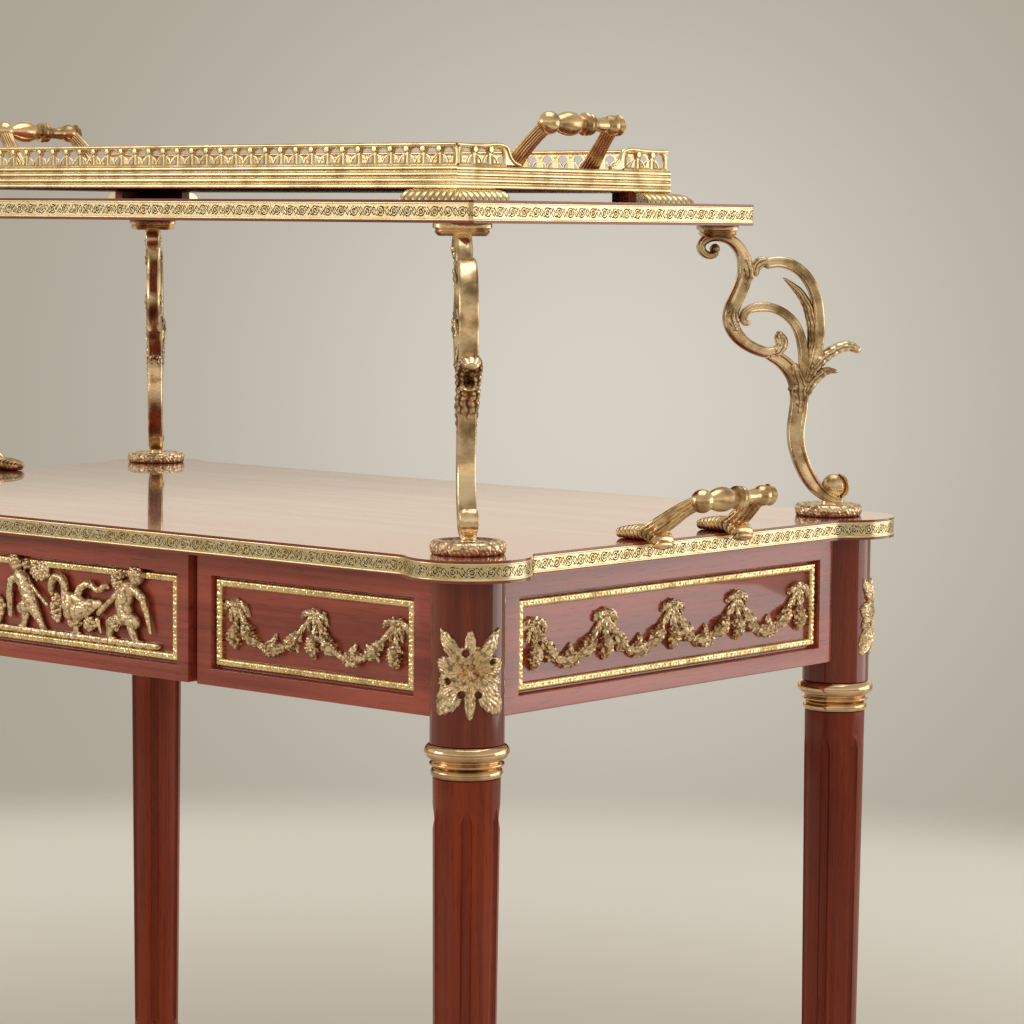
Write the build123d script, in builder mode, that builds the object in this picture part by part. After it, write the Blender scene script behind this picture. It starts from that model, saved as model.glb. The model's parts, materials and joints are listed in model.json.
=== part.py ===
"""Two-tier tea trolley with a lift-off tray, a frieze drawer and four swivel casters.

Millimetres, +Z up, X along the length, the drawer faces -Y.
The origin is on the floor under the middle of the trolley.
"""
import os
from math import atan2, cos, degrees, radians, sin, sqrt

from build123d import *

os.makedirs("parts", exist_ok=True)

# Legs
leg_x = 389.0
leg_y = 220.0
block_radius = 26.0
block_drop = 16.5
collar_height = 24.0
collar_radius = 29.7
collar_bead_radius = 25.2
neck_radius = 21.5
shaft_top_radius = 23.6
shaft_taper = 0.0078
flute_count = 6
flute_radius = 4.2
flute_depth = 3.0
flute_point = 12.0
flute_top_gap = 17.0
flute_bottom_gap = 5.0
flute_turn = 48.0

# Sabots
sabot_height = 51.0
sabot_wall = 1.8
sabot_base = 4.0
sabot_rim = 3.2
sabot_rim_height = 6.0

# Casters
wheel_radius = 16.0
wheel_width = 12.0
wheel_dish = 1.6
caster_trail = 11.0
axle_radius = 2.5
axle_clearance = 0.05
fork_gap = 0.7
fork_plate = 2.4
fork_eye_radius = 5.2
crown_radius = 11.0
crown_height = 4.0
crown_gap = 2.0
stem_radius = 4.0
stem_length = 27.0
stem_clearance = 0.08
swivel_gap = 0.5

# Frieze
apron_bottom = 515.0
apron_height = 97.6
apron_proud = 12.0
apron_thickness = 22.0
panel_z = 562.0
panel_height = 64.5
front_panel_x = 249.5
front_panel_width = 196.0
side_panel_width = 355.0
centre_panel_width = 233.0
pocket_margin = 2.0
pocket_depth = 6.5
frame_width = 6.0
frame_thickness = 3.2
garland_thickness = 4.5
garland_pitch = 79.0
garland_drop = 36.0
garland_cluster = 6.5
garland_swag = 3.4
garland_top = 14.0
garland_sag = 26.0

# Plaque of carved figures
plaque_thickness = 6.5
plaque_ledge_width = 214.0
plaque_ledge_height = 5.0
plaque_head = 5.0
plaque_body = 8.5
plaque_figure_x = 46.0
plaque_bird_x = 16.0

# Leaf mounts on the corner blocks
mount_thickness = 1.4
mount_height = 63.0
mount_bottom = 4.7
mount_turn = 104.0
mount_hole = 2.6

# Drawer
drawer_half = 130.5
drawer_side_gap = 4.0
drawer_proud = 5.0
drawer_front_thickness = 14.5
drawer_seat_gap = 0.3
drawer_front_margin = 1.0
drawer_box_half = 116.0
drawer_box_depth = 330.0
drawer_wall = 8.0
drawer_wall_height = 60.0
drawer_bottom_thickness = 5.0
drawer_bottom_rise = 4.0
drawer_slide_gap = 0.3

# Rails, runners and kickers round the drawer
rail_height = 15.0
rail_depth = 20.0
runner_width = 24.0
runner_thickness = 12.0
runner_guide = 11.6
runner_guide_height = 28.0
kicker_height = 12.0
block_size = 24.0
block_inset = 70.0
screw_radius = 1.9
screw_head_radius = 3.6
screw_head_height = 2.2
screw_bite = 9.0

# Lower top
top_thickness = 15.5
top_overhang_front = 31.5
top_overhang_side = 26.1
lobe_radius = 44.0
lobe_fillet = 14.0
band_thickness = 1.2
band_lip = 1.6

# Upper tier
tier_half_x = 342.5
tier_half_y = 167.0
tier_bottom = 854.1
tier_thickness = 16.4
tier_corner = 3.0

# Scroll supports, drawn in the vertical plane of each corner's diagonal
base_inset = 5.6
rosette_radius = 26.0
rosette_height = 8.0
rosette_edge = 2.6
plate_inset = 64.4
plate_radial = 30.0
plate_across = 42.0
plate_corner = 10.0
plate_thickness = 6.5
scroll_drawn_height = 226.0
scroll_drawn_lean = 91.1
scroll_width = 13.4
brace_width = 14.0
leaf_width = 17.0
foot_boss_radius = 6.0
foot_boss_height = 9.0
stud_radius = 3.0
stud_bite = 16.0

# Tray
tray_half_x = 291.8
tray_half_y = 125.3
tray_lift = 7.9
tray_bed_thickness = 9.0
moulding_height = 17.5
moulding_depth = 7.5
reed_count = 4
reed_relief = 1.6
gallery_height = 16.6
gallery_thickness = 2.2
gallery_rail_height = 3.0
gallery_rail_thickness = 3.6
gallery_foot_height = 2.0
arch_pitch = 16.0
arch_width = 10.5
dip_half = 69.0
tray_foot_leg = 44.0
tray_foot_flare = 13.0
tray_foot_width = 12.0
tray_seat_gap = 0.2

# Handles
post_bottom_radius = 5.6
post_top_radius = 4.6
post_flange_radius = 7.5
post_flange_height = 2.5
grip_ball_radius = 8.2
grip_half_span = 37.5
grip_neck_radius = 4.2
grip_vase_radius = 9.0
grip_ring_radius = 8.7
tray_post_x = 270.0
tray_post_y = 46.0
tray_grip_x = 304.0
tray_grip_rise = 41.0
low_post_y = 48.0
low_grip_out = 35.0
low_grip_rise = 30.0
foot_leaf_length = 33.0
foot_leaf_width = 17.0
foot_leaf_height = 6.5
foot_leaf_droop = 6.0
foot_leaf_lip = 6.0
foot_leaf_gap = 0.4
handle_screw_depth = 4.0

# Heights that follow from the sizes above
apron_top = apron_bottom + apron_height
top_surface = apron_top + top_thickness
collar_top = apron_bottom - block_drop
collar_bottom = collar_top - collar_height
crown_bottom = 2 * wheel_radius + crown_gap
sabot_bottom = crown_bottom + crown_height + swivel_gap
wood_bottom = sabot_bottom + sabot_base
sabot_top = sabot_bottom + sabot_height
tier_top = tier_bottom + tier_thickness
tray_bottom = tier_top + tray_lift
tray_floor = tray_bottom + tray_bed_thickness
moulding_top = tray_bottom + moulding_height

# Faces that follow from the sizes above
front_face = leg_y + apron_proud
side_face = leg_x + apron_proud
drawer_face = front_face + drawer_proud
apron_inner_x = drawer_half + drawer_side_gap
rail_front = drawer_face - drawer_front_thickness - drawer_seat_gap
rail_back = rail_front - rail_depth
apron_back = front_face - apron_thickness
top_half_x = leg_x + top_overhang_side
top_half_y = leg_y + top_overhang_front
corners = {
    "front_left": (-1, -1),
    "front_right": (1, -1),
    "back_left": (-1, 1),
    "back_right": (1, 1),
}


def save(piece, name):
    """Label a finished piece and write it under its node name."""
    piece.label = name
    export_step(piece, f"parts/{name}.step")


def shaft_radius(height):
    """Radius of the tapering leg at a height above the floor."""
    return shaft_top_radius - shaft_taper * (collar_bottom - height)


def upright(x, y, heading=0.0):
    """Vertical plane through a point, whose local x points along the heading in degrees."""
    turn = radians(heading)
    return Plane(origin=(x, y, 0), x_dir=(cos(turn), sin(turn), 0), z_dir=(sin(turn), -cos(turn), 0))


def axis_at(x, y):
    """Vertical axis through a point."""
    return Axis((x, y, 0), (0, 0, 1))


def leg_places():
    """Leg centres in the order of the corners."""
    return [(sx * leg_x, sy * leg_y) for sx, sy in corners.values()]


def base_places():
    """Centres of the four scroll bases on the lower top."""
    x, y = leg_x - base_inset, leg_y - base_inset
    return [(sx * x, sy * y) for sx, sy in corners.values()]


def plate_places():
    """Centres of the four plates under the upper tier."""
    x, y = leg_x - base_inset - plate_inset, leg_y - base_inset - plate_inset
    return [(sx * x, sy * y) for sx, sy in corners.values()]


def diagonal(sx, sy):
    """Heading of a corner's outward diagonal, in degrees."""
    return degrees(atan2(sy, sx))


# Panels are drawn on planes that lie on the board faces and look outwards
front_planes = [
    Plane(origin=(side * front_panel_x, -front_face, panel_z), x_dir=(1, 0, 0), z_dir=(0, -1, 0))
    for side in (-1, 1)
]
side_planes = [
    Plane(origin=(side * side_face, 0, panel_z), x_dir=(0, side, 0), z_dir=(side, 0, 0))
    for side in (-1, 1)
]
back_planes = [
    Plane(origin=(x, front_face, panel_z), x_dir=(-1, 0, 0), z_dir=(0, 1, 0))
    for x in (front_panel_x, -front_panel_x)
]
back_centre = Plane(origin=(0, front_face, panel_z), x_dir=(-1, 0, 0), z_dir=(0, 1, 0))
drawer_plane = Plane(origin=(0, -drawer_face, panel_z), x_dir=(1, 0, 0), z_dir=(0, -1, 0))


def cut_pocket(plane, width):
    """Sink a panel's pocket into the board that is being built."""
    with BuildSketch(plane) as pocket:
        Rectangle(width + 2 * pocket_margin, panel_height + 2 * pocket_margin)
    extrude(pocket.sketch, amount=-pocket_depth, mode=Mode.SUBTRACT)


def raise_frame(plane, width):
    """Add the brass frame that lies in a pocket."""
    with BuildSketch(plane.offset(-pocket_depth)) as ring:
        Rectangle(width, panel_height)
        Rectangle(width - 2 * frame_width, panel_height - 2 * frame_width, mode=Mode.SUBTRACT)
    extrude(ring.sketch, amount=frame_thickness)


def raise_garland(plane, count):
    """Add a garland: hanging drops joined by swags, lying on the pocket's floor."""
    reach = (count - 1) / 2
    places = [(k - reach) * garland_pitch for k in range(count)]
    with BuildSketch(plane.offset(-pocket_depth)) as swags:
        for x in places:
            with Locations((x, garland_top)):
                Circle(garland_cluster)
            with Locations((x, garland_top - garland_drop)):
                Circle(garland_swag)
            with BuildLine():
                Line((x, garland_top), (x, garland_top - garland_drop))
            trace(line_width=2 * garland_swag)
        for x in places[:-1]:
            with BuildLine():
                ThreePointArc(
                    (x, garland_top),
                    (x + garland_pitch / 2, garland_top - garland_sag),
                    (x + garland_pitch, garland_top),
                )
            trace(line_width=2 * garland_swag)
    extrude(swags.sketch, amount=garland_thickness)


def raise_plaque(plane):
    """Add the plaque: two small figures and a bird between them on a long ledge."""
    floor = -panel_height / 2 + frame_width + plaque_ledge_height / 2
    with BuildSketch(plane.offset(-pocket_depth)) as figures:
        with Locations((0, floor)):
            SlotOverall(plaque_ledge_width, plaque_ledge_height)
        for side in (-1, 1):
            x = side * plaque_figure_x
            with Locations((x, floor + 3 * plaque_body)):
                Ellipse(plaque_body, 1.5 * plaque_body)
            with Locations((x, floor + 3 * plaque_body + 2 * plaque_head + 4)):
                Circle(plaque_head)
            with BuildLine():
                Polyline((x, floor + 2 * plaque_body), (x + side * plaque_body, floor))
            trace(line_width=plaque_body)
            with BuildLine():
                Line((x, floor + 3 * plaque_body), (0, floor + 2 * plaque_body))
            trace(line_width=plaque_head)
        with Locations((0, floor + 2 * plaque_body)):
            Ellipse(plaque_bird_x, plaque_body)
    extrude(figures.sketch, amount=plaque_thickness)


def top_outline(inset=0.0):
    """Draw the lower top: a rectangle with a round lobe over each leg."""
    Rectangle(2 * (top_half_x - inset), 2 * (top_half_y - inset))
    with Locations(*leg_places()):
        Circle(lobe_radius - inset)


# Legs: round block at the frieze, neck for the collar and a fluted, tapering shaft
stem_bore = stem_radius + stem_clearance
stem_top = crown_bottom + crown_height + stem_length
flute_low = sabot_top + flute_bottom_gap + flute_radius
flute_high = collar_bottom - flute_top_gap - flute_point
flute_in = flute_radius - flute_depth
for name, (sx, sy) in corners.items():
    x, y = sx * leg_x, sy * leg_y
    with BuildPart() as leg:
        with BuildSketch(upright(x, y)):
            with BuildLine():
                Polyline(
                    (0, wood_bottom),
                    (shaft_radius(wood_bottom), wood_bottom),
                    (shaft_top_radius, collar_bottom),
                    (neck_radius, collar_bottom),
                    (neck_radius, collar_top),
                    (block_radius, collar_top),
                    (block_radius, apron_top),
                    (0, apron_top),
                    close=True,
                )
            make_face()
        revolve(axis=axis_at(x, y))
        for k in range(flute_count):
            turn = radians(flute_turn * sx * sy + 360 / flute_count * k)
            low_out = shaft_radius(flute_low) + flute_in
            high_out = shaft_radius(flute_high) + flute_in
            low = Vector(x + low_out * cos(turn), y + low_out * sin(turn), flute_low)
            high = Vector(x + high_out * cos(turn), y + high_out * sin(turn), flute_high)
            with Locations(Plane(origin=low, z_dir=high - low)):
                Cylinder(
                    flute_radius,
                    (high - low).length,
                    align=(Align.CENTER, Align.CENTER, Align.MIN),
                    mode=Mode.SUBTRACT,
                )
                Sphere(flute_radius, mode=Mode.SUBTRACT)
            with Locations(Plane(origin=high, z_dir=high - low)):
                Cone(
                    flute_radius,
                    flute_radius / 10,
                    flute_point,
                    align=(Align.CENTER, Align.CENTER, Align.MIN),
                    mode=Mode.SUBTRACT,
                )
        with BuildSketch(Plane.XY.offset(wood_bottom)):
            with Locations((x, y)):
                Circle(stem_bore)
        extrude(amount=stem_top + 1 - wood_bottom, mode=Mode.SUBTRACT)
        with BuildSketch(Plane.XY.offset(apron_top)):
            with Locations((x - sx * base_inset, y - sy * base_inset)):
                Circle(stud_radius)
        extrude(amount=-stud_bite, mode=Mode.SUBTRACT)
    save(leg.part, f"leg_{name}")

# Brass collars under the blocks
with BuildPart() as leg_collars:
    for x, y in leg_places():
        with BuildSketch(upright(x, y)):
            step = collar_height / 4
            with BuildLine():
                Polyline(
                    (neck_radius, collar_top),
                    (neck_radius, collar_bottom),
                    (collar_bead_radius - 1.5, collar_bottom),
                )
                ThreePointArc(
                    (collar_bead_radius - 1.5, collar_bottom),
                    (collar_bead_radius, collar_bottom + step / 2),
                    (collar_bead_radius - 1.5, collar_bottom + step),
                )
                Polyline(
                    (collar_bead_radius - 1.5, collar_bottom + step),
                    (collar_bead_radius, collar_bottom + step + 1),
                    (collar_bead_radius, collar_bottom + 2 * step),
                    (collar_radius - 2, collar_bottom + 2 * step),
                )
                ThreePointArc(
                    (collar_radius - 2, collar_bottom + 2 * step),
                    (collar_radius, collar_bottom + 3 * step),
                    (collar_radius - 2, collar_top),
                )
                Line((collar_radius - 2, collar_top), (neck_radius, collar_top))
            make_face()
        revolve(axis=axis_at(x, y))
save(leg_collars.part, "leg_collars")

# Brass sabots with a bored base for the caster stem
with BuildPart() as leg_sabots:
    for x, y in leg_places():
        low = shaft_radius(wood_bottom)
        high = shaft_radius(sabot_top)
        rim = sabot_top - sabot_rim_height
        with BuildSketch(upright(x, y)):
            with BuildLine():
                Polyline(
                    (stem_bore, sabot_bottom),
                    (low - sabot_base / 2, sabot_bottom),
                    (low + sabot_wall, wood_bottom),
                    (shaft_radius(rim) + sabot_wall, rim),
                    (shaft_radius(rim) + sabot_rim, rim + sabot_rim_height / 4),
                    (shaft_radius(rim) + sabot_rim, rim + sabot_rim_height * 3 / 4),
                    (high + sabot_wall, sabot_top),
                    (high, sabot_top),
                    (low, wood_bottom),
                    (stem_bore, wood_bottom),
                    close=True,
                )
            make_face()
        revolve(axis=axis_at(x, y))
save(leg_sabots.part, "leg_sabots")

# Casters: fork with its stem and axle, and the wheel
for name, (sx, sy) in corners.items():
    x, y = sx * leg_x, sy * leg_y
    axle_x = x + caster_trail
    inner = wheel_width / 2 + fork_gap
    axle_plane = Plane(origin=(axle_x, y, wheel_radius), x_dir=(1, 0, 0), z_dir=(0, -1, 0))
    with BuildPart() as fork:
        with BuildSketch(Plane.XY.offset(crown_bottom)):
            with Locations((x, y)):
                Circle(crown_radius)
            with Locations((x + caster_trail / 2, y)):
                Rectangle(caster_trail + 2 * fork_eye_radius, 2 * (inner + fork_plate))
        extrude(amount=crown_height)
        with BuildSketch(Plane.XY.offset(crown_bottom + crown_height)):
            with Locations((x, y)):
                Circle(stem_radius)
        extrude(amount=stem_length)
        for side in (-1, 1):
            with BuildSketch(axle_plane.offset(side * (inner + fork_plate / 2))):
                with BuildLine():
                    Polyline(
                        (-fork_eye_radius, 0),
                        (fork_eye_radius, 0),
                        (fork_eye_radius, crown_bottom + crown_height - wheel_radius),
                        (-caster_trail - fork_eye_radius, crown_bottom + crown_height - wheel_radius),
                        (-caster_trail - fork_eye_radius, crown_bottom - wheel_radius),
                        close=True,
                    )
                make_face()
                Circle(fork_eye_radius)
                Circle(axle_radius, mode=Mode.SUBTRACT)
            extrude(amount=fork_plate / 2, both=True)
    with BuildPart() as axle:
        with BuildSketch(axle_plane):
            Circle(axle_radius)
        extrude(amount=inner + fork_plate, both=True)
        for side in (-1, 1):
            with BuildSketch(axle_plane.offset(side * (inner + fork_plate))):
                Circle(axle_radius + 1.2)
            extrude(amount=side * 1.0)
    save(Compound(children=[fork.part.solid(), axle.part.solid()]), f"caster_fork_{name}")

    with BuildPart() as wheel:
        with BuildSketch(axle_plane):
            Circle(wheel_radius)
            Circle(axle_radius + axle_clearance, mode=Mode.SUBTRACT)
        extrude(amount=wheel_width / 2, both=True)
        for side in (-1, 1):
            with BuildSketch(axle_plane.offset(side * wheel_width / 2)):
                Circle(wheel_radius - 3.5)
                Circle(axle_radius + 3.5, mode=Mode.SUBTRACT)
            extrude(amount=-side * wheel_dish, mode=Mode.SUBTRACT)
    save(wheel.part, f"caster_wheel_{name}")

# Front aprons beside the drawer
for side, plane in zip((-1, 1), front_planes):
    with BuildPart() as apron:
        with BuildSketch(Plane.XY.offset(apron_bottom)):
            with Locations((side * (apron_inner_x + leg_x) / 2, -(front_face + apron_back) / 2)):
                Rectangle(leg_x - apron_inner_x, apron_thickness)
            with Locations((side * leg_x, -leg_y)):
                Circle(block_radius, mode=Mode.SUBTRACT)
        extrude(amount=apron_height)
        cut_pocket(plane, front_panel_width)
    save(apron.part, f"apron_front_{'left' if side < 0 else 'right'}")

# Side aprons
for side, plane in zip((-1, 1), side_planes):
    with BuildPart() as apron:
        with BuildSketch(Plane.XY.offset(apron_bottom)):
            with Locations((side * (side_face - apron_thickness / 2), 0)):
                Rectangle(apron_thickness, 2 * leg_y)
            with Locations((side * leg_x, -leg_y), (side * leg_x, leg_y)):
                Circle(block_radius, mode=Mode.SUBTRACT)
        extrude(amount=apron_height)
        cut_pocket(plane, side_panel_width)
    save(apron.part, f"apron_{'left' if side < 0 else 'right'}")

# Back apron in one board
with BuildPart() as apron_rear:
    with BuildSketch(Plane.XY.offset(apron_bottom)):
        with Locations((0, (front_face + apron_back) / 2)):
            Rectangle(2 * leg_x, apron_thickness)
        with Locations((-leg_x, leg_y), (leg_x, leg_y)):
            Circle(block_radius, mode=Mode.SUBTRACT)
    extrude(amount=apron_height)
    for plane in back_planes:
        cut_pocket(plane, front_panel_width)
    cut_pocket(back_centre, centre_panel_width)
save(apron_rear.part, "apron_back")

# Brass frames, garlands and plaques in the pockets
with BuildPart() as panel_frames:
    for plane in front_planes + back_planes:
        raise_frame(plane, front_panel_width)
    for plane in side_planes:
        raise_frame(plane, side_panel_width)
    raise_frame(back_centre, centre_panel_width)
save(panel_frames.part, "panel_frames")

with BuildPart() as front_garlands:
    for plane in front_planes:
        raise_garland(plane, 3)
save(front_garlands.part, "front_garlands")

with BuildPart() as back_garlands:
    for plane in back_planes:
        raise_garland(plane, 3)
save(back_garlands.part, "back_garlands")

with BuildPart() as side_garlands:
    for plane in side_planes:
        raise_garland(plane, 5)
save(side_garlands.part, "side_garlands")

with BuildPart() as back_plaque:
    raise_plaque(back_centre)
save(back_plaque.part, "back_plaque")

# Leaf mounts wrap the outward side of each block
with BuildPart() as leaf_mounts:
    for sx, sy in corners.values():
        x, y = sx * leg_x, sy * leg_y
        heading = diagonal(sx, sy)
        half = radians(mount_turn / 2)
        outer = block_radius + mount_thickness
        turns = [radians(heading) - half, radians(heading), radians(heading) + half]
        outside = [(x + outer * cos(t), y + outer * sin(t)) for t in turns]
        inside = [(x + block_radius * cos(t), y + block_radius * sin(t)) for t in turns]
        with BuildSketch(Plane.XY.offset(apron_bottom + mount_bottom)):
            with BuildLine():
                ThreePointArc(*outside)
                Line(outside[-1], inside[-1])
                ThreePointArc(*reversed(inside))
                Line(inside[0], outside[0])
            make_face()
        extrude(amount=mount_height)
    middle = apron_bottom + mount_bottom + mount_height / 2
    for sx, sy in corners.values():
        out = upright(sx * leg_x, sy * leg_y, diagonal(sx, sy) + 90)
        with BuildSketch(out):
            with Locations((0, middle + mount_height / 4), (0, middle - mount_height / 4)):
                Circle(mount_hole)
        extrude(amount=block_radius + 2 * mount_thickness, mode=Mode.SUBTRACT)
save(leaf_mounts.part, "leaf_mounts")

# Rails above and below the drawer, between the front aprons
rail_places = [apron_bottom, apron_top - rail_height]
with BuildPart() as drawer_rails:
    for low in rail_places:
        with BuildSketch(Plane.XY.offset(low)):
            with Locations((0, -(rail_front + rail_back) / 2)):
                Rectangle(2 * apron_inner_x, rail_depth)
        extrude(amount=rail_height)
save(drawer_rails.part, "drawer_rails")

# Drawer box heights
wall_low = apron_bottom + rail_height + drawer_bottom_rise
wall_high = wall_low + drawer_wall_height
wall_front = drawer_face - drawer_front_thickness
box_back = -wall_front + drawer_box_depth
runner_x = drawer_box_half + drawer_slide_gap
runner_top = wall_low - drawer_slide_gap

# Runners under the drawer sides, with a guide beside each
with BuildPart() as drawer_runners:
    for side in (-1, 1):
        with BuildSketch(Plane.XZ.offset(rail_back)):
            with Locations((side * (runner_x + runner_guide - runner_width / 2), runner_top)):
                Rectangle(runner_width, runner_thickness, align=(Align.CENTER, Align.MAX))
            with Locations((side * (runner_x + runner_guide / 2), runner_top)):
                Rectangle(runner_guide, runner_guide_height, align=(Align.CENTER, Align.MIN))
        extrude(amount=-(rail_back + apron_back))
save(drawer_runners.part, "drawer_runners")

# Kickers above the drawer sides, under the top
kicker_x = runner_x + runner_guide - runner_width / 2
with BuildPart() as drawer_kickers:
    for side in (-1, 1):
        with BuildSketch(Plane.XZ.offset(rail_back)):
            with Locations((side * kicker_x, apron_top)):
                Rectangle(runner_width, kicker_height, align=(Align.CENTER, Align.MAX))
        extrude(amount=-(rail_back + apron_back))
save(drawer_kickers.part, "drawer_kickers")

# Glue blocks in the angle between the aprons and the top
inner_x = side_face - apron_thickness
block_places = [
    (sx * (inner_x - block_size / 2), sy * (leg_y - block_inset)) for sx in (-1, 1) for sy in (-1, 1)
]
block_places += [(sx * front_panel_x, -apron_back + block_size / 2) for sx in (-1, 1)]
block_places += [(sx * front_panel_x, apron_back - block_size / 2) for sx in (-1, 1)]
with BuildPart() as glue_blocks:
    for x, y in block_places:
        with BuildSketch(Plane.XY.offset(apron_top)):
            with Locations((x, y)):
                Rectangle(block_size, block_size)
                Circle(screw_radius, mode=Mode.SUBTRACT)
        extrude(amount=-block_size)
save(glue_blocks.part, "glue_blocks")

# Screws that hold the lower top down to the glue blocks
with BuildPart() as top_screws:
    for x, y in block_places:
        with BuildSketch(Plane.XY.offset(apron_top - block_size)):
            with Locations((x, y)):
                Circle(screw_radius)
        extrude(amount=block_size + screw_bite)
        with BuildSketch(Plane.XY.offset(apron_top - block_size)):
            with Locations((x, y)):
                Circle(screw_head_radius)
        extrude(amount=-screw_head_height)
save(top_screws.part, "top_screws")

# Handle feet on the lower top
foot_leaf_x = top_half_x - foot_leaf_length
low_screw_x = top_half_x - foot_leaf_length / 2
low_screws = [(sx * low_screw_x, sy * low_post_y) for sx in (-1, 1) for sy in (-1, 1)]

# Lower top, grooved round its edge for the brass band
band_low = apron_top + band_lip
band_high = top_surface - band_lip
with BuildPart() as lower_top:
    with BuildSketch(Plane.XY.offset(apron_top)) as top_shape:
        top_outline()
        fillet(top_shape.vertices(), lobe_fillet)
    extrude(amount=top_thickness)
    with BuildSketch(Plane.XY.offset(band_low)) as groove:
        top_outline()
        fillet(groove.vertices(), lobe_fillet)
        offset(amount=-band_thickness, mode=Mode.SUBTRACT)
    extrude(amount=band_high - band_low, mode=Mode.SUBTRACT)
    with BuildSketch(Plane.XY.offset(apron_top)):
        with Locations(*block_places):
            Circle(screw_radius)
    extrude(amount=screw_bite, mode=Mode.SUBTRACT)
    with BuildSketch(Plane.XY.offset(apron_top)):
        with Locations(*base_places()):
            Circle(stud_radius)
        with Locations(*low_screws):
            Circle(screw_radius)
    extrude(amount=top_thickness, mode=Mode.SUBTRACT)
    with BuildSketch(Plane.XY.offset(apron_top)):
        with Locations(*low_screws):
            Circle(screw_head_radius)
    extrude(amount=screw_head_height, mode=Mode.SUBTRACT)
save(lower_top.part, "lower_top")

with BuildPart() as lower_top_band:
    with BuildSketch(Plane.XY.offset(band_low)) as band_shape:
        top_outline()
        fillet(band_shape.vertices(), lobe_fillet)
        offset(amount=-band_thickness, mode=Mode.SUBTRACT)
    extrude(amount=band_high - band_low)
save(lower_top_band.part, "lower_top_band")

# Drawer front, proud of the frieze
with BuildPart() as drawer_front:
    with BuildSketch(Plane.XY.offset(apron_bottom + drawer_front_margin)):
        with Locations((0, -drawer_face + drawer_front_thickness / 2)):
            Rectangle(2 * drawer_half, drawer_front_thickness)
    extrude(amount=apron_height - 2 * drawer_front_margin)
    cut_pocket(drawer_plane, centre_panel_width)
save(drawer_front.part, "drawer_front")

with BuildPart() as drawer_frame:
    raise_frame(drawer_plane, centre_panel_width)
save(drawer_frame.part, "drawer_frame")

with BuildPart() as drawer_plaque:
    raise_plaque(drawer_plane)
save(drawer_plaque.part, "drawer_plaque")

# Drawer box: two sides, a back and a bottom
box_inner = drawer_box_half - drawer_wall
with BuildPart() as drawer_sides:
    for side in (-1, 1):
        with BuildSketch(Plane.XY.offset(wall_low)):
            with Locations((side * (drawer_box_half - drawer_wall / 2), -wall_front)):
                Rectangle(drawer_wall, drawer_box_depth, align=(Align.CENTER, Align.MIN))
        extrude(amount=drawer_wall_height)
save(drawer_sides.part, "drawer_sides")

with BuildPart() as drawer_back:
    with BuildSketch(Plane.XY.offset(wall_low)):
        with Locations((0, box_back)):
            Rectangle(2 * box_inner, drawer_wall, align=(Align.CENTER, Align.MAX))
    extrude(amount=drawer_wall_height)
save(drawer_back.part, "drawer_back")

with BuildPart() as drawer_bottom:
    with BuildSketch(Plane.XY.offset(wall_low)):
        with Locations((0, -wall_front)):
            Rectangle(2 * box_inner, drawer_box_depth - drawer_wall, align=(Align.CENTER, Align.MIN))
    extrude(amount=drawer_bottom_thickness)
save(drawer_bottom.part, "drawer_bottom")

# Upper tier with its band
tier_band_low = tier_bottom + band_lip
tier_band_high = tier_top - band_lip
plate_screws_at = [
    (x + turn * (plate_across / 2 - plate_corner) * -sx * sy, y + turn * (plate_across / 2 - plate_corner))
    for (x, y), (sx, sy) in zip(plate_places(), corners.values())
    for turn in (-1 / sqrt(2), 1 / sqrt(2))
]
with BuildPart() as upper_top:
    with BuildSketch(Plane.XY.offset(tier_bottom)):
        RectangleRounded(2 * tier_half_x, 2 * tier_half_y, tier_corner)
    extrude(amount=tier_thickness)
    with BuildSketch(Plane.XY.offset(tier_band_low)):
        RectangleRounded(2 * tier_half_x, 2 * tier_half_y, tier_corner)
        RectangleRounded(
            2 * (tier_half_x - band_thickness),
            2 * (tier_half_y - band_thickness),
            tier_corner - band_thickness,
            mode=Mode.SUBTRACT,
        )
    extrude(amount=tier_band_high - tier_band_low, mode=Mode.SUBTRACT)
    with BuildSketch(Plane.XY.offset(tier_bottom)):
        with Locations(*plate_screws_at):
            Circle(screw_radius)
    extrude(amount=screw_bite, mode=Mode.SUBTRACT)
save(upper_top.part, "upper_top")

with BuildPart() as upper_top_band:
    with BuildSketch(Plane.XY.offset(tier_band_low)):
        RectangleRounded(2 * tier_half_x, 2 * tier_half_y, tier_corner)
        RectangleRounded(
            2 * (tier_half_x - band_thickness),
            2 * (tier_half_y - band_thickness),
            tier_corner - band_thickness,
            mode=Mode.SUBTRACT,
        )
    extrude(amount=tier_band_high - tier_band_low)
save(upper_top_band.part, "upper_top_band")

# Scroll supports. Each limb is a curve of (outward, up) points from the base's centre.
support_rise = tier_bottom - top_surface
plate_low = support_rise - plate_thickness
rise_scale = support_rise / scroll_drawn_height
lean_scale = plate_inset * sqrt(2) / scroll_drawn_lean
stem_points = [
    (-98, 211), (-87, 215), (-74, 208), (-69, 190), (-75, 171), (-80, 153), (-73, 139), (-57, 129),
    (-46, 132), (-43, 137),
]
foot_points = [
    (-50, 128), (-38, 120), (-26, 102), (-25, 84), (-27, 64), (-20, 37), (-8, 20), (3, 13), (10, 15),
]
outer_points = [(-21, 102), (-12, 132), (-12, 155), (-19, 182), (-34, 195), (-46, 197), (-54, 196)]
barb_points = [(-36, 184), (-26, 179), (-17, 170)]
inner_points = [(-21, 106), (-22, 130), (-30, 151), (-46, 162), (-61, 162), (-72, 156)]
high_leaf_points = [(-17, 108), (-8, 122), (3, 130), (14, 133), (21, 130)]
low_leaf_points = [(-20, 98), (-10, 111), (-2, 114), (5, 112)]
stem_limb, foot_limb, outer_limb, inner_limb, leaf_limb = 13.0, 14.0, 10.0, 7.4, 6.6
volute_place, volute_radius = (-99, 208), 8.6
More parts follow.
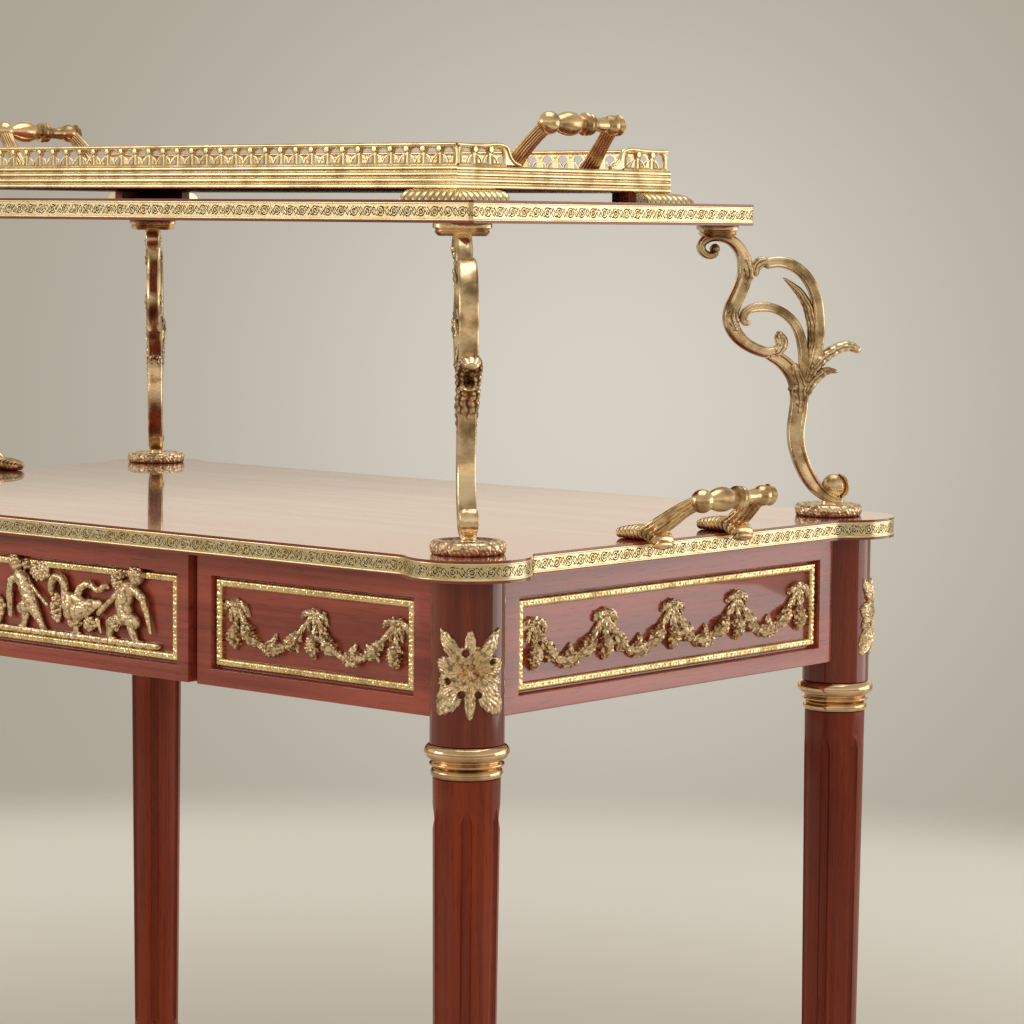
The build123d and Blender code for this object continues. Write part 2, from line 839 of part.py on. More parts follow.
ball_place, ball_radius = (4, 23), 9.6


def fitted(points):
    """Stretch drawn points to the support's rise and lean."""
    return [(out * lean_scale, up * rise_scale) for out, up in points]


def limb(points, width):
    """Draw one limb of a scroll with rounded ends."""
    path = fitted(points)
    with BuildLine() as curve:
        Spline(*path)
    trace(curve.line, line_width=width)
    with Locations(path[0], path[-1]):
        Circle(width / 2)


for (name, (sx, sy)), (x, y) in zip(corners.items(), base_places()):
    face = Plane(
        origin=(x, y, top_surface),
        x_dir=(sx / sqrt(2), sy / sqrt(2), 0),
        z_dir=(sy / sqrt(2), -sx / sqrt(2), 0),
    )
    with BuildPart() as support:
        with BuildSketch(face):
            limb(stem_points, stem_limb)
            limb(foot_points, foot_limb)
            with Locations(*fitted([volute_place])):
                Circle(volute_radius)
        extrude(amount=scroll_width / 2, both=True)
        with BuildSketch(face):
            limb(outer_points, outer_limb)
            limb(inner_points, inner_limb)
            limb(barb_points, leaf_limb)
            with Locations(*fitted([ball_place])):
                Circle(ball_radius)
        extrude(amount=brace_width / 2, both=True)
        with BuildSketch(face):
            limb(high_leaf_points, leaf_limb)
            limb(low_leaf_points, leaf_limb)
        extrude(amount=leaf_width / 2, both=True)
        with BuildSketch(Plane.XY.offset(top_surface + rosette_height)):
            with Locations((x, y)):
                Circle(foot_boss_radius)
        extrude(amount=foot_boss_height)
        with BuildSketch(Plane.XY.offset(top_surface)):
            with Locations((x, y)):
                Circle(rosette_radius)
        extrude(amount=rosette_height, mode=Mode.SUBTRACT)
        with BuildSketch(Plane.XY.offset(top_surface + rosette_height)):
            with Locations((x, y)):
                Circle(stud_radius)
        extrude(amount=foot_boss_height / 2, mode=Mode.SUBTRACT)
        with BuildSketch(Plane.XY.offset(top_surface + plate_low)):
            with Locations((x, y)):
                Circle(2 * plate_inset * sqrt(2))
        extrude(amount=plate_thickness, mode=Mode.SUBTRACT)
    save(support.part, f"support_{name}")

# Round moulded bases, and studs that run down through the top into the legs
with BuildPart() as support_rosettes:
    for x, y in base_places():
        with BuildSketch(upright(x, y)):
            with BuildLine():
                Polyline(
                    (stud_radius, top_surface),
                    (rosette_radius - rosette_edge, top_surface),
                )
                ThreePointArc(
                    (rosette_radius - rosette_edge, top_surface),
                    (rosette_radius, top_surface + rosette_height / 2),
                    (rosette_radius - rosette_edge, top_surface + rosette_height * 0.8),
                )
                Polyline(
                    (rosette_radius - rosette_edge, top_surface + rosette_height * 0.8),
                    (rosette_radius - 3 * rosette_edge, top_surface + rosette_height),
                    (stud_radius, top_surface + rosette_height),
                    (stud_radius, top_surface),
                )
            make_face()
        revolve(axis=axis_at(x, y))
save(support_rosettes.part, "support_rosettes")

with BuildPart() as support_studs:
    with BuildSketch(Plane.XY.offset(apron_top - stud_bite)):
        with Locations(*base_places()):
            Circle(stud_radius)
    extrude(amount=stud_bite + top_thickness + rosette_height + foot_boss_height / 2)
save(support_studs.part, "support_studs")

# Plates under the upper tier
with BuildPart() as support_plates:
    for (x, y), (sx, sy) in zip(plate_places(), corners.values()):
        with BuildSketch(Plane(origin=(x, y, top_surface + plate_low), x_dir=(sx, sy, 0), z_dir=(0, 0, 1))):
            RectangleRounded(plate_radial, plate_across, plate_corner)
        extrude(amount=plate_thickness)
    with BuildSketch(Plane.XY.offset(top_surface + plate_low)):
        with Locations(*plate_screws_at):
            Circle(screw_radius)
    extrude(amount=plate_thickness, mode=Mode.SUBTRACT)
save(support_plates.part, "support_plates")

with BuildPart() as plate_screws:
    with BuildSketch(Plane.XY.offset(top_surface + plate_low)):
        with Locations(*plate_screws_at):
            Circle(screw_radius)
    extrude(amount=plate_thickness + screw_bite)
    with BuildSketch(Plane.XY.offset(top_surface + plate_low)):
        with Locations(*plate_screws_at):
            Circle(screw_head_radius)
    extrude(amount=-screw_head_height)
save(plate_screws.part, "plate_screws")


def turned_grip(x, z):
    """Add a turned grip that lies along Y: ball, neck, vase, ring, neck and ball."""
    span, ball, neck = grip_half_span, grip_ball_radius, grip_neck_radius
    joint = sqrt(ball * ball - neck * neck)
    ring_start = span * 0.1
    ring_end = span * 0.38
    with BuildSketch(Plane(origin=(x, 0, z), x_dir=(0, 1, 0), z_dir=(1, 0, 0))) as profile:
        with BuildLine():
            ThreePointArc((-span - ball, 0), (-span, ball), (-span + joint, neck))
            ThreePointArc(
                (-span + joint, neck),
                (-span * 0.4, grip_vase_radius),
                (ring_start, neck * 1.6),
            )
            Polyline((ring_start, neck * 1.6), (ring_start, grip_ring_radius - 1))
            ThreePointArc(
                (ring_start, grip_ring_radius - 1),
                ((ring_start + ring_end) / 2, grip_ring_radius),
                (ring_end, grip_ring_radius - 1),
            )
            Polyline((ring_end, grip_ring_radius - 1), (ring_end, neck * 1.3), (span - joint, neck))
            ThreePointArc((span - joint, neck), (span, ball), (span + ball, 0))
            Line((span + ball, 0), (-span - ball, 0))
        make_face()
    revolve(profile.sketch, axis=Axis((x, 0, z), (0, 1, 0)))


def post(foot, head):
    """Add a tapering round post between two points, ending inside the grip's ball."""
    run = Vector(*head) - Vector(*foot)
    with Locations(Plane(origin=foot, z_dir=run)):
        Cone(
            post_bottom_radius,
            post_top_radius,
            run.length,
            align=(Align.CENTER, Align.CENTER, Align.MIN),
        )


# Handles of the lower top: leaf-shaped feet, leaning posts and turned grips
low_grip_x = top_half_x + low_grip_out
low_grip_z = top_surface + low_grip_rise
with BuildPart() as low_posts:
    for side in (-1, 1):
        for hand in (-1, 1):
            y = hand * low_post_y
            outline = Plane(origin=(0, y, top_surface), x_dir=(side, 0, 0), z_dir=(0, -side, 0))
            edge = top_half_x + foot_leaf_gap
            with BuildSketch(outline):
                with BuildLine():
                    Polyline(
                        (foot_leaf_x, 0),
                        (edge, 0),
                        (edge, -foot_leaf_droop),
                        (edge + foot_leaf_lip, -foot_leaf_droop),
                    )
                    ThreePointArc(
                        (edge + foot_leaf_lip, -foot_leaf_droop),
                        (edge + 1.6 * foot_leaf_lip, 0),
                        (edge + foot_leaf_lip / 2, foot_leaf_height),
                    )
                    Polyline(
                        (edge + foot_leaf_lip / 2, foot_leaf_height),
                        (foot_leaf_x, foot_leaf_height),
                        (foot_leaf_x, 0),
                    )
                make_face()
            extrude(amount=foot_leaf_width / 2, both=True)
            post(
                (side * edge, y, top_surface + foot_leaf_height / 2),
                (side * low_grip_x, hand * grip_half_span, low_grip_z),
            )
    with Locations(
        *[
            (side * low_grip_x, hand * grip_half_span, low_grip_z)
            for side in (-1, 1)
            for hand in (-1, 1)
        ]
    ):
        Sphere(grip_ball_radius, mode=Mode.SUBTRACT)
    with BuildSketch(Plane.XY.offset(top_surface)):
        with Locations(*low_screws):
            Circle(screw_radius)
    extrude(amount=handle_screw_depth, mode=Mode.SUBTRACT)
save(low_posts.part, "lower_handle_posts")

with BuildPart() as low_grips:
    for side in (-1, 1):
        turned_grip(side * low_grip_x, low_grip_z)
save(low_grips.part, "lower_handle_grips")

with BuildPart() as low_handle_screws:
    with BuildSketch(Plane.XY.offset(apron_top + screw_head_height)):
        with Locations(*low_screws):
            Circle(screw_radius)
    extrude(amount=top_thickness - screw_head_height + handle_screw_depth)
    with BuildSketch(Plane.XY.offset(apron_top)):
        with Locations(*low_screws):
            Circle(screw_head_radius)
    extrude(amount=screw_head_height)
save(low_handle_screws.part, "lower_handle_screws")

# Tray: board, reeded moulding, pierced gallery, corner feet and two handles
bed_half_x = tray_half_x - moulding_depth
bed_half_y = tray_half_y - moulding_depth
tray_screws = [(sx * tray_post_x, sy * tray_post_y) for sx in (-1, 1) for sy in (-1, 1)]
with BuildPart() as tray_bed:
    with BuildSketch(Plane.XY.offset(tray_bottom)):
        Rectangle(2 * bed_half_x, 2 * bed_half_y)
        with Locations(*tray_screws):
            Circle(screw_radius, mode=Mode.SUBTRACT)
    extrude(amount=tray_bed_thickness)
    with BuildSketch(Plane.XY.offset(tray_bottom)):
        with Locations(*tray_screws):
            Circle(screw_head_radius)
    extrude(amount=screw_head_height, mode=Mode.SUBTRACT)
save(tray_bed.part, "tray_bed")

# The moulding is four mitred lengths; each is cut to its quarter of the plan
reed_pitch = moulding_height / reed_count


def mitred(out_x, out_y, depth, side_x, side_y):
    """Draw one mitred side of a rectangular ring in plan, on +X or -X or on +Y or -Y."""
    in_x, in_y = out_x - depth, out_y - depth
    if side_x:
        Polygon(
            (side_x * out_x, -out_y), (side_x * out_x, out_y),
            (side_x * in_x, in_y), (side_x * in_x, -in_y), align=None,
        )
    else:
        Polygon(
            (-out_x, side_y * out_y), (out_x, side_y * out_y),
            (in_x, side_y * in_y), (-in_x, side_y * in_y), align=None,
        )


moulding_sides = []
for side_x, side_y in ((1, 0), (-1, 0), (0, 1), (0, -1)):
    with BuildPart() as length:
        with BuildSketch(Plane.XY.offset(tray_bottom)):
            mitred(
                tray_half_x - reed_relief, tray_half_y - reed_relief,
                moulding_depth - reed_relief, side_x, side_y,
            )
        extrude(amount=moulding_height)
        for k in range(reed_count):
            with BuildSketch(Plane.XY.offset(tray_bottom + (k + 0.5) * reed_pitch)):
                mitred(tray_half_x, tray_half_y, moulding_depth - reed_relief, side_x, side_y)
            extrude(amount=reed_pitch * 0.32, both=True)
    moulding_sides.append(length.part)
save(Compound(children=[side.solid() for side in moulding_sides]), "tray_moulding")

# Gallery: pierced strips with a top rail; the short sides leave a dip at the handles
gallery_top = moulding_top + gallery_height
arch_low = moulding_top + gallery_foot_height
arch_high = gallery_top - gallery_rail_height


def pierced(plane, low, high):
    """Build one pierced strip between two places along a plane's local x."""
    count = int((high - low) / arch_pitch)
    first = (low + high) / 2 - (count - 1) / 2 * arch_pitch
    with BuildPart() as strip:
        with BuildSketch(plane):
            with Locations(((low + high) / 2, moulding_top)):
                Rectangle(high - low, gallery_height, align=(Align.CENTER, Align.MIN))
            for k in range(count):
                with Locations((first + k * arch_pitch, arch_low)):
                    Rectangle(
                        arch_width,
                        arch_high - arch_low - arch_width / 2,
                        align=(Align.CENTER, Align.MIN),
                        mode=Mode.SUBTRACT,
                    )
                with Locations((first + k * arch_pitch, arch_high - arch_width / 2)):
                    Circle(arch_width / 2, mode=Mode.SUBTRACT)
        extrude(amount=-gallery_thickness)
        with BuildSketch(plane):
            with Locations(((low + high) / 2, arch_high)):
                Rectangle(high - low, gallery_rail_height, align=(Align.CENTER, Align.MIN))
        extrude(amount=-gallery_rail_thickness)
    return strip.part.solid()


gallery_x = tray_half_x - reed_relief
gallery_y = tray_half_y - reed_relief
strips = []
for side in (-1, 1):
    long_plane = Plane(origin=(0, side * gallery_y, 0), x_dir=(-side, 0, 0), z_dir=(0, side, 0))
    strips.append(pierced(long_plane, -gallery_x, gallery_x))
    short_plane = Plane(origin=(side * gallery_x, 0, 0), x_dir=(0, side, 0), z_dir=(side, 0, 0))
    short_end = gallery_y - gallery_rail_thickness
    strips.append(pierced(short_plane, -short_end, -dip_half))
    strips.append(pierced(short_plane, dip_half, short_end))
save(Compound(children=strips), "tray_gallery")

# Corner feet, flared outwards to the tier
with BuildPart() as tray_feet:
    for sx, sy in corners.values():
        flare = Plane.XY.offset(tier_top + tray_seat_gap)
        reach_x = sx * (tray_half_x + tray_foot_flare)
        reach_y = sy * (tray_half_y + tray_foot_flare)
        near_x = sx * (tray_half_x - tray_foot_leg)
        near_y = sy * (tray_half_y - tray_foot_leg)
        in_x = sx * (tray_half_x - tray_foot_width)
        in_y = sy * (tray_half_y - tray_foot_width)
        with BuildSketch(flare):
            Polygon(
                (reach_x, reach_y), (reach_x, near_y), (in_x, near_y),
                (in_x, in_y), (near_x, in_y), (near_x, reach_y), align=None,
            )
        with BuildSketch(Plane.XY.offset(tray_bottom)):
            Polygon(
                (sx * tray_half_x, sy * tray_half_y), (sx * tray_half_x, near_y), (in_x, near_y),
                (in_x, in_y), (near_x, in_y), (near_x, sy * tray_half_y), align=None,
            )
        loft(ruled=True)
save(tray_feet.part, "tray_feet")

tray_grip_z = tray_floor + tray_grip_rise
with BuildPart() as tray_posts:
    for side in (-1, 1):
        for hand in (-1, 1):
            foot = (side * tray_post_x, hand * tray_post_y, tray_floor)
            with BuildSketch(Plane.XY.offset(tray_floor)):
                with Locations(foot[:2]):
                    Circle(post_flange_radius)
            extrude(amount=post_flange_height)
            post(
                (foot[0], foot[1], tray_floor + post_flange_height / 2),
                (side * tray_grip_x, hand * grip_half_span, tray_grip_z),
            )
    with Locations(
        *[
            (side * tray_grip_x, hand * grip_half_span, tray_grip_z)
            for side in (-1, 1)
            for hand in (-1, 1)
        ]
    ):
        Sphere(grip_ball_radius, mode=Mode.SUBTRACT)
    with BuildSketch(Plane.XY.offset(tray_floor)):
        with Locations(*tray_screws):
            Circle(screw_radius)
    extrude(amount=handle_screw_depth, mode=Mode.SUBTRACT)
    with BuildSketch(Plane.XY.offset(tray_floor)):
        Rectangle(2 * tray_half_x, 2 * tray_half_y)
    extrude(amount=-post_bottom_radius, mode=Mode.SUBTRACT)
save(tray_posts.part, "tray_handle_posts")

with BuildPart() as tray_grips:
    for side in (-1, 1):
        turned_grip(side * tray_grip_x, tray_grip_z)
save(tray_grips.part, "tray_handle_grips")

with BuildPart() as tray_handle_screws:
    with BuildSketch(Plane.XY.offset(tray_bottom + screw_head_height)):
        with Locations(*tray_screws):
            Circle(screw_radius)
    extrude(amount=tray_bed_thickness - screw_head_height + handle_screw_depth)
    with BuildSketch(Plane.XY.offset(tray_bottom)):
        with Locations(*tray_screws):
            Circle(screw_head_radius)
    extrude(amount=screw_head_height)
save(tray_handle_screws.part, "tray_handle_screws")
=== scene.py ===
import json
import logging
import math
from dataclasses import dataclass, field
from enum import Enum
from typing import Callable, Optional, Sequence

import bmesh
import bpy
import numpy as np
from mathutils import Matrix, Vector

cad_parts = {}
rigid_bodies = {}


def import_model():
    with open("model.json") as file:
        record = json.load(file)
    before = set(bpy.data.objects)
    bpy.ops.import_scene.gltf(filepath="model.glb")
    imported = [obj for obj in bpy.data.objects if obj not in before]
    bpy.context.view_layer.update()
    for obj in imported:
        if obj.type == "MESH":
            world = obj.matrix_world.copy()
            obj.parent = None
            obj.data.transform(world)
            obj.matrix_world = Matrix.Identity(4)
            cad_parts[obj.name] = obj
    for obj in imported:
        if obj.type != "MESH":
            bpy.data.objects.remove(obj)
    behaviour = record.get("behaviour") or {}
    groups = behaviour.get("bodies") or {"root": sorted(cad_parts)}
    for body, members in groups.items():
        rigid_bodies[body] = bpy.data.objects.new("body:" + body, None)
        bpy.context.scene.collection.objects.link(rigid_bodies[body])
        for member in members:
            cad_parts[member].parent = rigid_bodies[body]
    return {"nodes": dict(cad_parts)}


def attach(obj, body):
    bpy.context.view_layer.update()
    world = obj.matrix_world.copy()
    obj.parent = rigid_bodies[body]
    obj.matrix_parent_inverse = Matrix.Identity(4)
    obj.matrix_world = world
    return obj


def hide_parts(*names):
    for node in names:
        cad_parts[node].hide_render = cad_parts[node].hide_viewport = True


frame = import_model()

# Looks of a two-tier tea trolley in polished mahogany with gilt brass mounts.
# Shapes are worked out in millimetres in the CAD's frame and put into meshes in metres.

log = logging.getLogger("tea_trolley")
Array = np.ndarray
Numbers = Sequence[float]
Points = Sequence[Numbers]
Triple = tuple[float, float, float]
Socket = bpy.types.NodeSocket
TAU = 2 * math.pi
MM = 0.001
TINY = 1e-6
GOLDEN_ANGLE = 2.39996

# Edges sharper than these many degrees stay sharp.
CREASE = 38.0
TRAY_CREASE = 50.0
CAST_CREASE = 60.0
LEAF_CREASE = 75.0

# The legs' axes and the lower top's face, in millimetres, and the corners' signs.
LEG_X, LEG_Y = 389.0, 220.0
LOWER_TOP = 628.1
ENDS = (-1, 1)
CORNERS = {"front_left": (-1, -1), "front_right": (1, -1), "back_left": (-1, 1), "back_right": (1, 1)}


# Meshes


@dataclass
class Surface:
    """A patch of a piece in millimetres.

    points are its corners, quads its four-sided faces and caps its closing faces. relief
    says how high the carving stands at each point, from 0 in a recess to 1 on a crest, and
    strip is each quad corner's place along and across a band.
    """

    points: Array
    quads: Array
    caps: list[Array]
    relief: Array
    strip: Array

    def placed(self, place: "Place") -> "Surface":
        """The patch moved from a place's own axes into the trolley's frame."""
        return Surface(place.world(self.points), self.quads, self.caps, self.relief, self.strip)

    def flipped(self) -> "Surface":
        """The same patch with its faces turned over."""
        caps = [cap[::-1] for cap in self.caps]
        return Surface(self.points, self.quads[:, ::-1], caps, self.relief, self.strip[:, ::-1])

    def volume(self) -> float:
        """How much space the faces enclose: the sum of a . (b x c) over their triangles.

        Returns:
            Six times the volume in cubic millimetres, positive if the faces look out.
        """
        middle = self.points.mean(0)
        a, b, c, d = (self.points[self.quads[:, k]] - middle for k in range(4))
        total = np.einsum("ij,ij->", a, np.cross(b, c)) + np.einsum("ij,ij->", a, np.cross(c, d))
        for cap in self.caps:
            ring = self.points[cap] - middle
            total += (np.cross(ring[1:-1], ring[2:]) @ ring[0]).sum()
        return float(total)

    def outward(self) -> "Surface":
        """The closed patch with its faces pointing out."""
        return self if self.volume() > 0 else self.flipped()

    def facing(self, way: Numbers) -> "Surface":
        """The open patch turned so that its faces look along a direction on the whole.

        Args:
            way: The direction.

        Returns:
            The patch, turned over if need be.
        """
        a, b, c = (self.points[self.quads[:, k]] for k in range(3))
        looks = np.cross(b - a, c - a).sum(0) @ np.asarray(way, float)
        return self if looks > 0 else self.flipped()


@dataclass(frozen=True)
class Place:
    """A flat frame of reference: an origin in millimetres and its right, up and out directions."""

    origin: Triple
    right: Triple = (1.0, 0.0, 0.0)
    up: Triple = (0.0, 1.0, 0.0)
    out: Triple = (0.0, 0.0, 1.0)

    def world(self, local: Array) -> Array:
        """Points given as (right, up, out), in the trolley's frame."""
        axes = np.array([self.right, self.up, self.out], float)
        return np.asarray(self.origin, float) + np.asarray(local, float) @ axes

    def moved(self, patches: Sequence[Surface]) -> list[Surface]:
        """Patches brought from the place's own axes into the trolley's frame."""
        return [patch.placed(self) for patch in patches]


def everywhere(places: Sequence[Place], patches: Sequence[Surface]) -> list[Surface]:
    """A copy of the patches at each of some places."""
    return [patch for place in places for patch in place.moved(patches)]


def grid(
    points: Array,
    relief: Optional[Array] = None,
    strip: Optional[Array] = None,
    wrap_rows: bool = False,
    wrap_cols: bool = False,
    ends: bool = False,
) -> Surface:
    """Join a grid of points into quads, row to row and column to column.

    Args:
        points: rows x columns x 3.
        relief: rows x columns, or None for all crest.
        strip: one more row or column than the points where the grid wraps.
        wrap_rows: Join the last row to the first.
        wrap_cols: Join the last column to the first.
        ends: Close the first and last row with a cap.

    Returns:
        The patch.
    """
    rows, cols = points.shape[:2]
    i, j = np.meshgrid(
        np.arange(rows if wrap_rows else rows - 1),
        np.arange(cols if wrap_cols else cols - 1),
        indexing="ij",
    )
    below, beside = (i + 1) % rows, (j + 1) % cols
    quads = np.stack([i * cols + j, below * cols + j, below * cols + beside, i * cols + beside], -1)
    if strip is None:
        marks = np.zeros((i.size, 4, 2))
    else:
        marks = np.stack([strip[i, j], strip[i + 1, j], strip[i + 1, j + 1], strip[i, j + 1]], 2)
    caps = [np.arange(cols), np.arange((rows - 1) * cols, rows * cols)[::-1]] if ends else []
    height = np.ones(rows * cols) if relief is None else np.clip(relief, 0, 1).reshape(-1)
    return Surface(points.reshape(-1, 3), quads.reshape(-1, 4), caps, height, marks.reshape(-1, 4, 2))


def along(path: Array) -> Array:
    """Distance from the start of a path to each of its points, added up step by step."""
    steps = np.linalg.norm(np.diff(path, axis=0), axis=1)
    return np.concatenate([[0.0], np.cumsum(steps)])


def spline(points: Points, count: int) -> Array:
    """A smooth path through points, in equal steps.

    Each coordinate is a natural cubic spline over the chord length, whose second
    derivatives solve the usual three-banded equations, and the result is read again at
    equal distances along itself.

    Args:
        points: The points that it passes through.
        count: How many points to give back.

    Returns:
        count x dimensions.
    """
    finer = 12
    knots = np.asarray(points, float)
    at = along(knots)
    span = np.diff(at)
    size = len(at)
    bands = np.eye(size)
    inner = np.arange(1, size - 1)
    bands[inner, inner - 1] = span[:-1]
    bands[inner, inner] = 2 * (span[:-1] + span[1:])
    bands[inner, inner + 1] = span[1:]
    slopes = np.diff(knots, axis=0) / span[:, None]
    right = np.zeros_like(knots)
    right[1:-1] = 6 * np.diff(slopes, axis=0)
    bend = np.linalg.solve(bands, right)
    fine = np.linspace(0, at[-1], finer * count)
    k = np.clip(np.searchsorted(at, fine) - 1, 0, size - 2)
    a = (fine - at[k])[:, None]
    b = (at[k + 1] - fine)[:, None]
    h = span[k][:, None]
    line = (
        (bend[k] * b**3 + bend[k + 1] * a**3) / (6 * h)
        + (knots[k] / h - bend[k] * h / 6) * b
        + (knots[k + 1] / h - bend[k + 1] * h / 6) * a
    )
    return evenly(line, count)


def evenly(points: Points, count: int) -> Array:
    """A path of straight runs, read at equal distances along itself.

    Args:
        points: Its corners.
        count: How many points to give back.

    Returns:
        count x dimensions.
    """
    line = np.asarray(points, float)
    at = along(line)
    even = np.linspace(0, at[-1], count)
    return np.stack([np.interp(even, at, line[:, d]) for d in range(line.shape[1])], 1)


def eased(value: Array, low: float, high: float) -> Array:
    """0 below low, 1 above high and a smooth step between them."""
    t = np.clip((value - low) / (high - low), 0, 1)
    return t * t * (3 - 2 * t)


def tapered(values: Numbers, count: int) -> Array:
    """Numbers that hold at equal parts of a length, read at count places along it."""
    return np.interp(np.linspace(0, 1, count), np.linspace(0, 1, len(values)), values)


def turns(count: int) -> Array:
    """Angles in equal steps once round."""
    return np.arange(count) * TAU / count


def arc(middle: Numbers, radii: Numbers, angles: Array) -> Array:
    """Points (x + a cos t, y + b sin t) of an oval's arc."""
    return np.stack([middle[0] + radii[0] * np.cos(angles), middle[1] + radii[1] * np.sin(angles)], 1)


def round_ends(gone: Array, length: float, reach: float, least: float) -> Array:
    """Share of its full size that a limb has: a quarter circle of its distance to the nearer end over reach."""
    share = np.clip(np.minimum(gone, length - gone) / reach, least, 1)
    return np.sqrt(1 - (1 - share) ** 2)


def unit(vectors: Array) -> Array:
    """Vectors, one to a row, brought to length 1."""
    return vectors / np.linalg.norm(vectors, axis=1)[:, None]


def superellipse(sides: int, squareness: float) -> Array:
    """A closed unit section, |x|^n + |y|^n = 1.

    Args:
        sides: Steps round it.
        squareness: n, from a circle at 2 towards a square.

    Returns:
        sides x 2.
    """
    turn = turns(sides)
    cosine, sine = np.cos(turn), np.sin(turn)
    power = 2 / squareness
    return np.stack([np.sign(cosine) * np.abs(cosine) ** power, np.sign(sine) * np.abs(sine) ** power], 1)


def flat_sweep(path: Array, section: Array, relief: Optional[Array] = None) -> Surface:
    """Carry a section along a path that lies in the plane of right and up.

    A point of the section is put at the path's point, plus its first number along the
    path's normal in the plane, plus its second number out of the plane.

    Args:
        path: n x 2 or n x 3, where the third number is the height out of the plane.
        section: n x sides x 2, in millimetres.
        relief: n x sides.

    Returns:
        A closed patch with capped ends.
    """
    run = unit(np.gradient(path[:, :2], axis=0))
    normal = np.stack([-run[:, 1], run[:, 0]], 1)
    flat = path[:, None, :2] + section[:, :, :1] * normal[:, None, :]
    lift = section[:, :, 1] + (path[:, 2][:, None] if path.shape[1] > 2 else 0.0)
    return grid(np.dstack([flat, lift]), relief, wrap_cols=True, ends=True).outward()


def space_sweep(path: Array, widths: Array, depths: Array, sides: Array, across: Numbers) -> Surface:
    """Carry a flat section along a path in space.

    The section's width lies along a direction as near to across as the path allows, and
    its depth at right angles to both: centre + width * x * a + depth * y * b.

    Args:
        path: n x 3.
        widths: n, half widths.
        depths: n, half depths.
        sides: The unit section, k x 2, or n x k x 2 where it changes along the path.
        across: Rough direction of the width.

    Returns:
        A closed patch with capped ends.
    """
    run = unit(np.gradient(path, axis=0))
    depth_way = unit(np.cross(run, np.asarray(across, float)))
    width_way = np.cross(depth_way, run)
    shape = np.broadcast_to(sides, (len(path),) + np.asarray(sides).shape[-2:])
    points = (
        path[:, None, :]
        + (shape[:, :, 0] * widths[:, None])[:, :, None] * width_way[:, None, :]
        + (shape[:, :, 1] * depths[:, None])[:, :, None] * depth_way[:, None, :]
    )
    relief = np.linalg.norm(shape, axis=2)
    low, high = relief.min(), relief.max()
    relief = np.ones_like(relief) if high - low < 0.02 else (relief - low) / (high - low)
    return grid(points, relief, wrap_cols=True, ends=True).outward()


def lathe(
    profile: Points,
    place: Place,
    sides: int = 48,
    swell: Optional[Callable[[Array, Array], Array]] = None,
) -> Surface:
    """Turn a profile about a place's out axis.

    A point is (radius + swell) * (cos a, sin a) at its height, for every angle a.

    Args:
        profile: (radius, height) points; the ends may lie on the axis.
        place: Where the axis stands.
        sides: Steps round the axis.
        swell: Adds to the radius, from the angle and the height.

    Returns:
        A closed patch.
    """
    line = np.asarray(profile, float)
    angle = turns(sides)
    radius = np.repeat(np.maximum(line[:, :1], 0.02), sides, 1)
    height = np.repeat(line[:, 1:], sides, 1)
    extra = np.zeros_like(radius) if swell is None else swell(angle[None, :], height)
    relief = None if swell is None else (extra - extra.min()) / max(np.ptp(extra), TINY)
    radius = radius + np.where(line[:, :1] > 0.5, extra, 0)
    points = np.stack([radius * np.cos(angle), radius * np.sin(angle), height], -1)
    return grid(place.world(points), relief, wrap_cols=True, ends=True).outward()


def mitred_ring(
    half_right: float,
    half_up: float,
    section: Array,
    columns: Sequence[int],
    carve: Optional[Callable[[Array, Array], Array]] = None,
) -> list[Surface]:
    """Carry a section round a rectangle with sharp mitres.

    On each side, a section point at inset i runs straight from one corner of the rectangle
    that is i smaller all round to the next, so that the four sides meet on the mitres.

    Args:
        half_right: Half the outer width.
        half_up: Half the outer height.
        section: k x 2 of inset and height, a closed loop.
        columns: Steps along the sides that run to the right, and along those that run up.
        carve: Extra height from the distance along the side and the inset.

    Returns:
        Four closed patches, in the (right, up, out) axes.
    """
    corners = np.array([(-1, -1), (1, -1), (1, 1), (-1, 1)], float)
    inset = section[:, 0]
    sides = []
    for k in range(4):
        start, stop = corners[k], corners[(k + 1) % 4]
        t = np.linspace(0, 1, columns[k % 2] + 1)[:, None]
        half = np.stack([half_right - inset, half_up - inset], 1)
        flat = half[None] * (start[None, None] * (1 - t[:, :, None]) + stop[None, None] * t[:, :, None])
        run = flat @ ((stop - start) / 2)
        lift = np.repeat(section[None, :, 1], len(t), 0)
        relief = None
        if carve is not None:
            extra = carve(run, inset[None, :])
            low = section[:, 1].min()
            shown = np.clip((section[:, 1] - low) / max(np.ptp(section[:, 1]), TINY), 0, 1)
            lift = lift + extra * shown[None, :]
            relief = (extra - extra.min()) / max(np.ptp(extra), TINY)
        strip = np.dstack([run, np.repeat(inset[None, :], len(t), 0)])
        strip = np.concatenate([strip, strip[:, :1]], 1)
        sides.append(grid(np.dstack([flat, lift]), relief, strip, wrap_cols=True, ends=True).outward())
    return sides


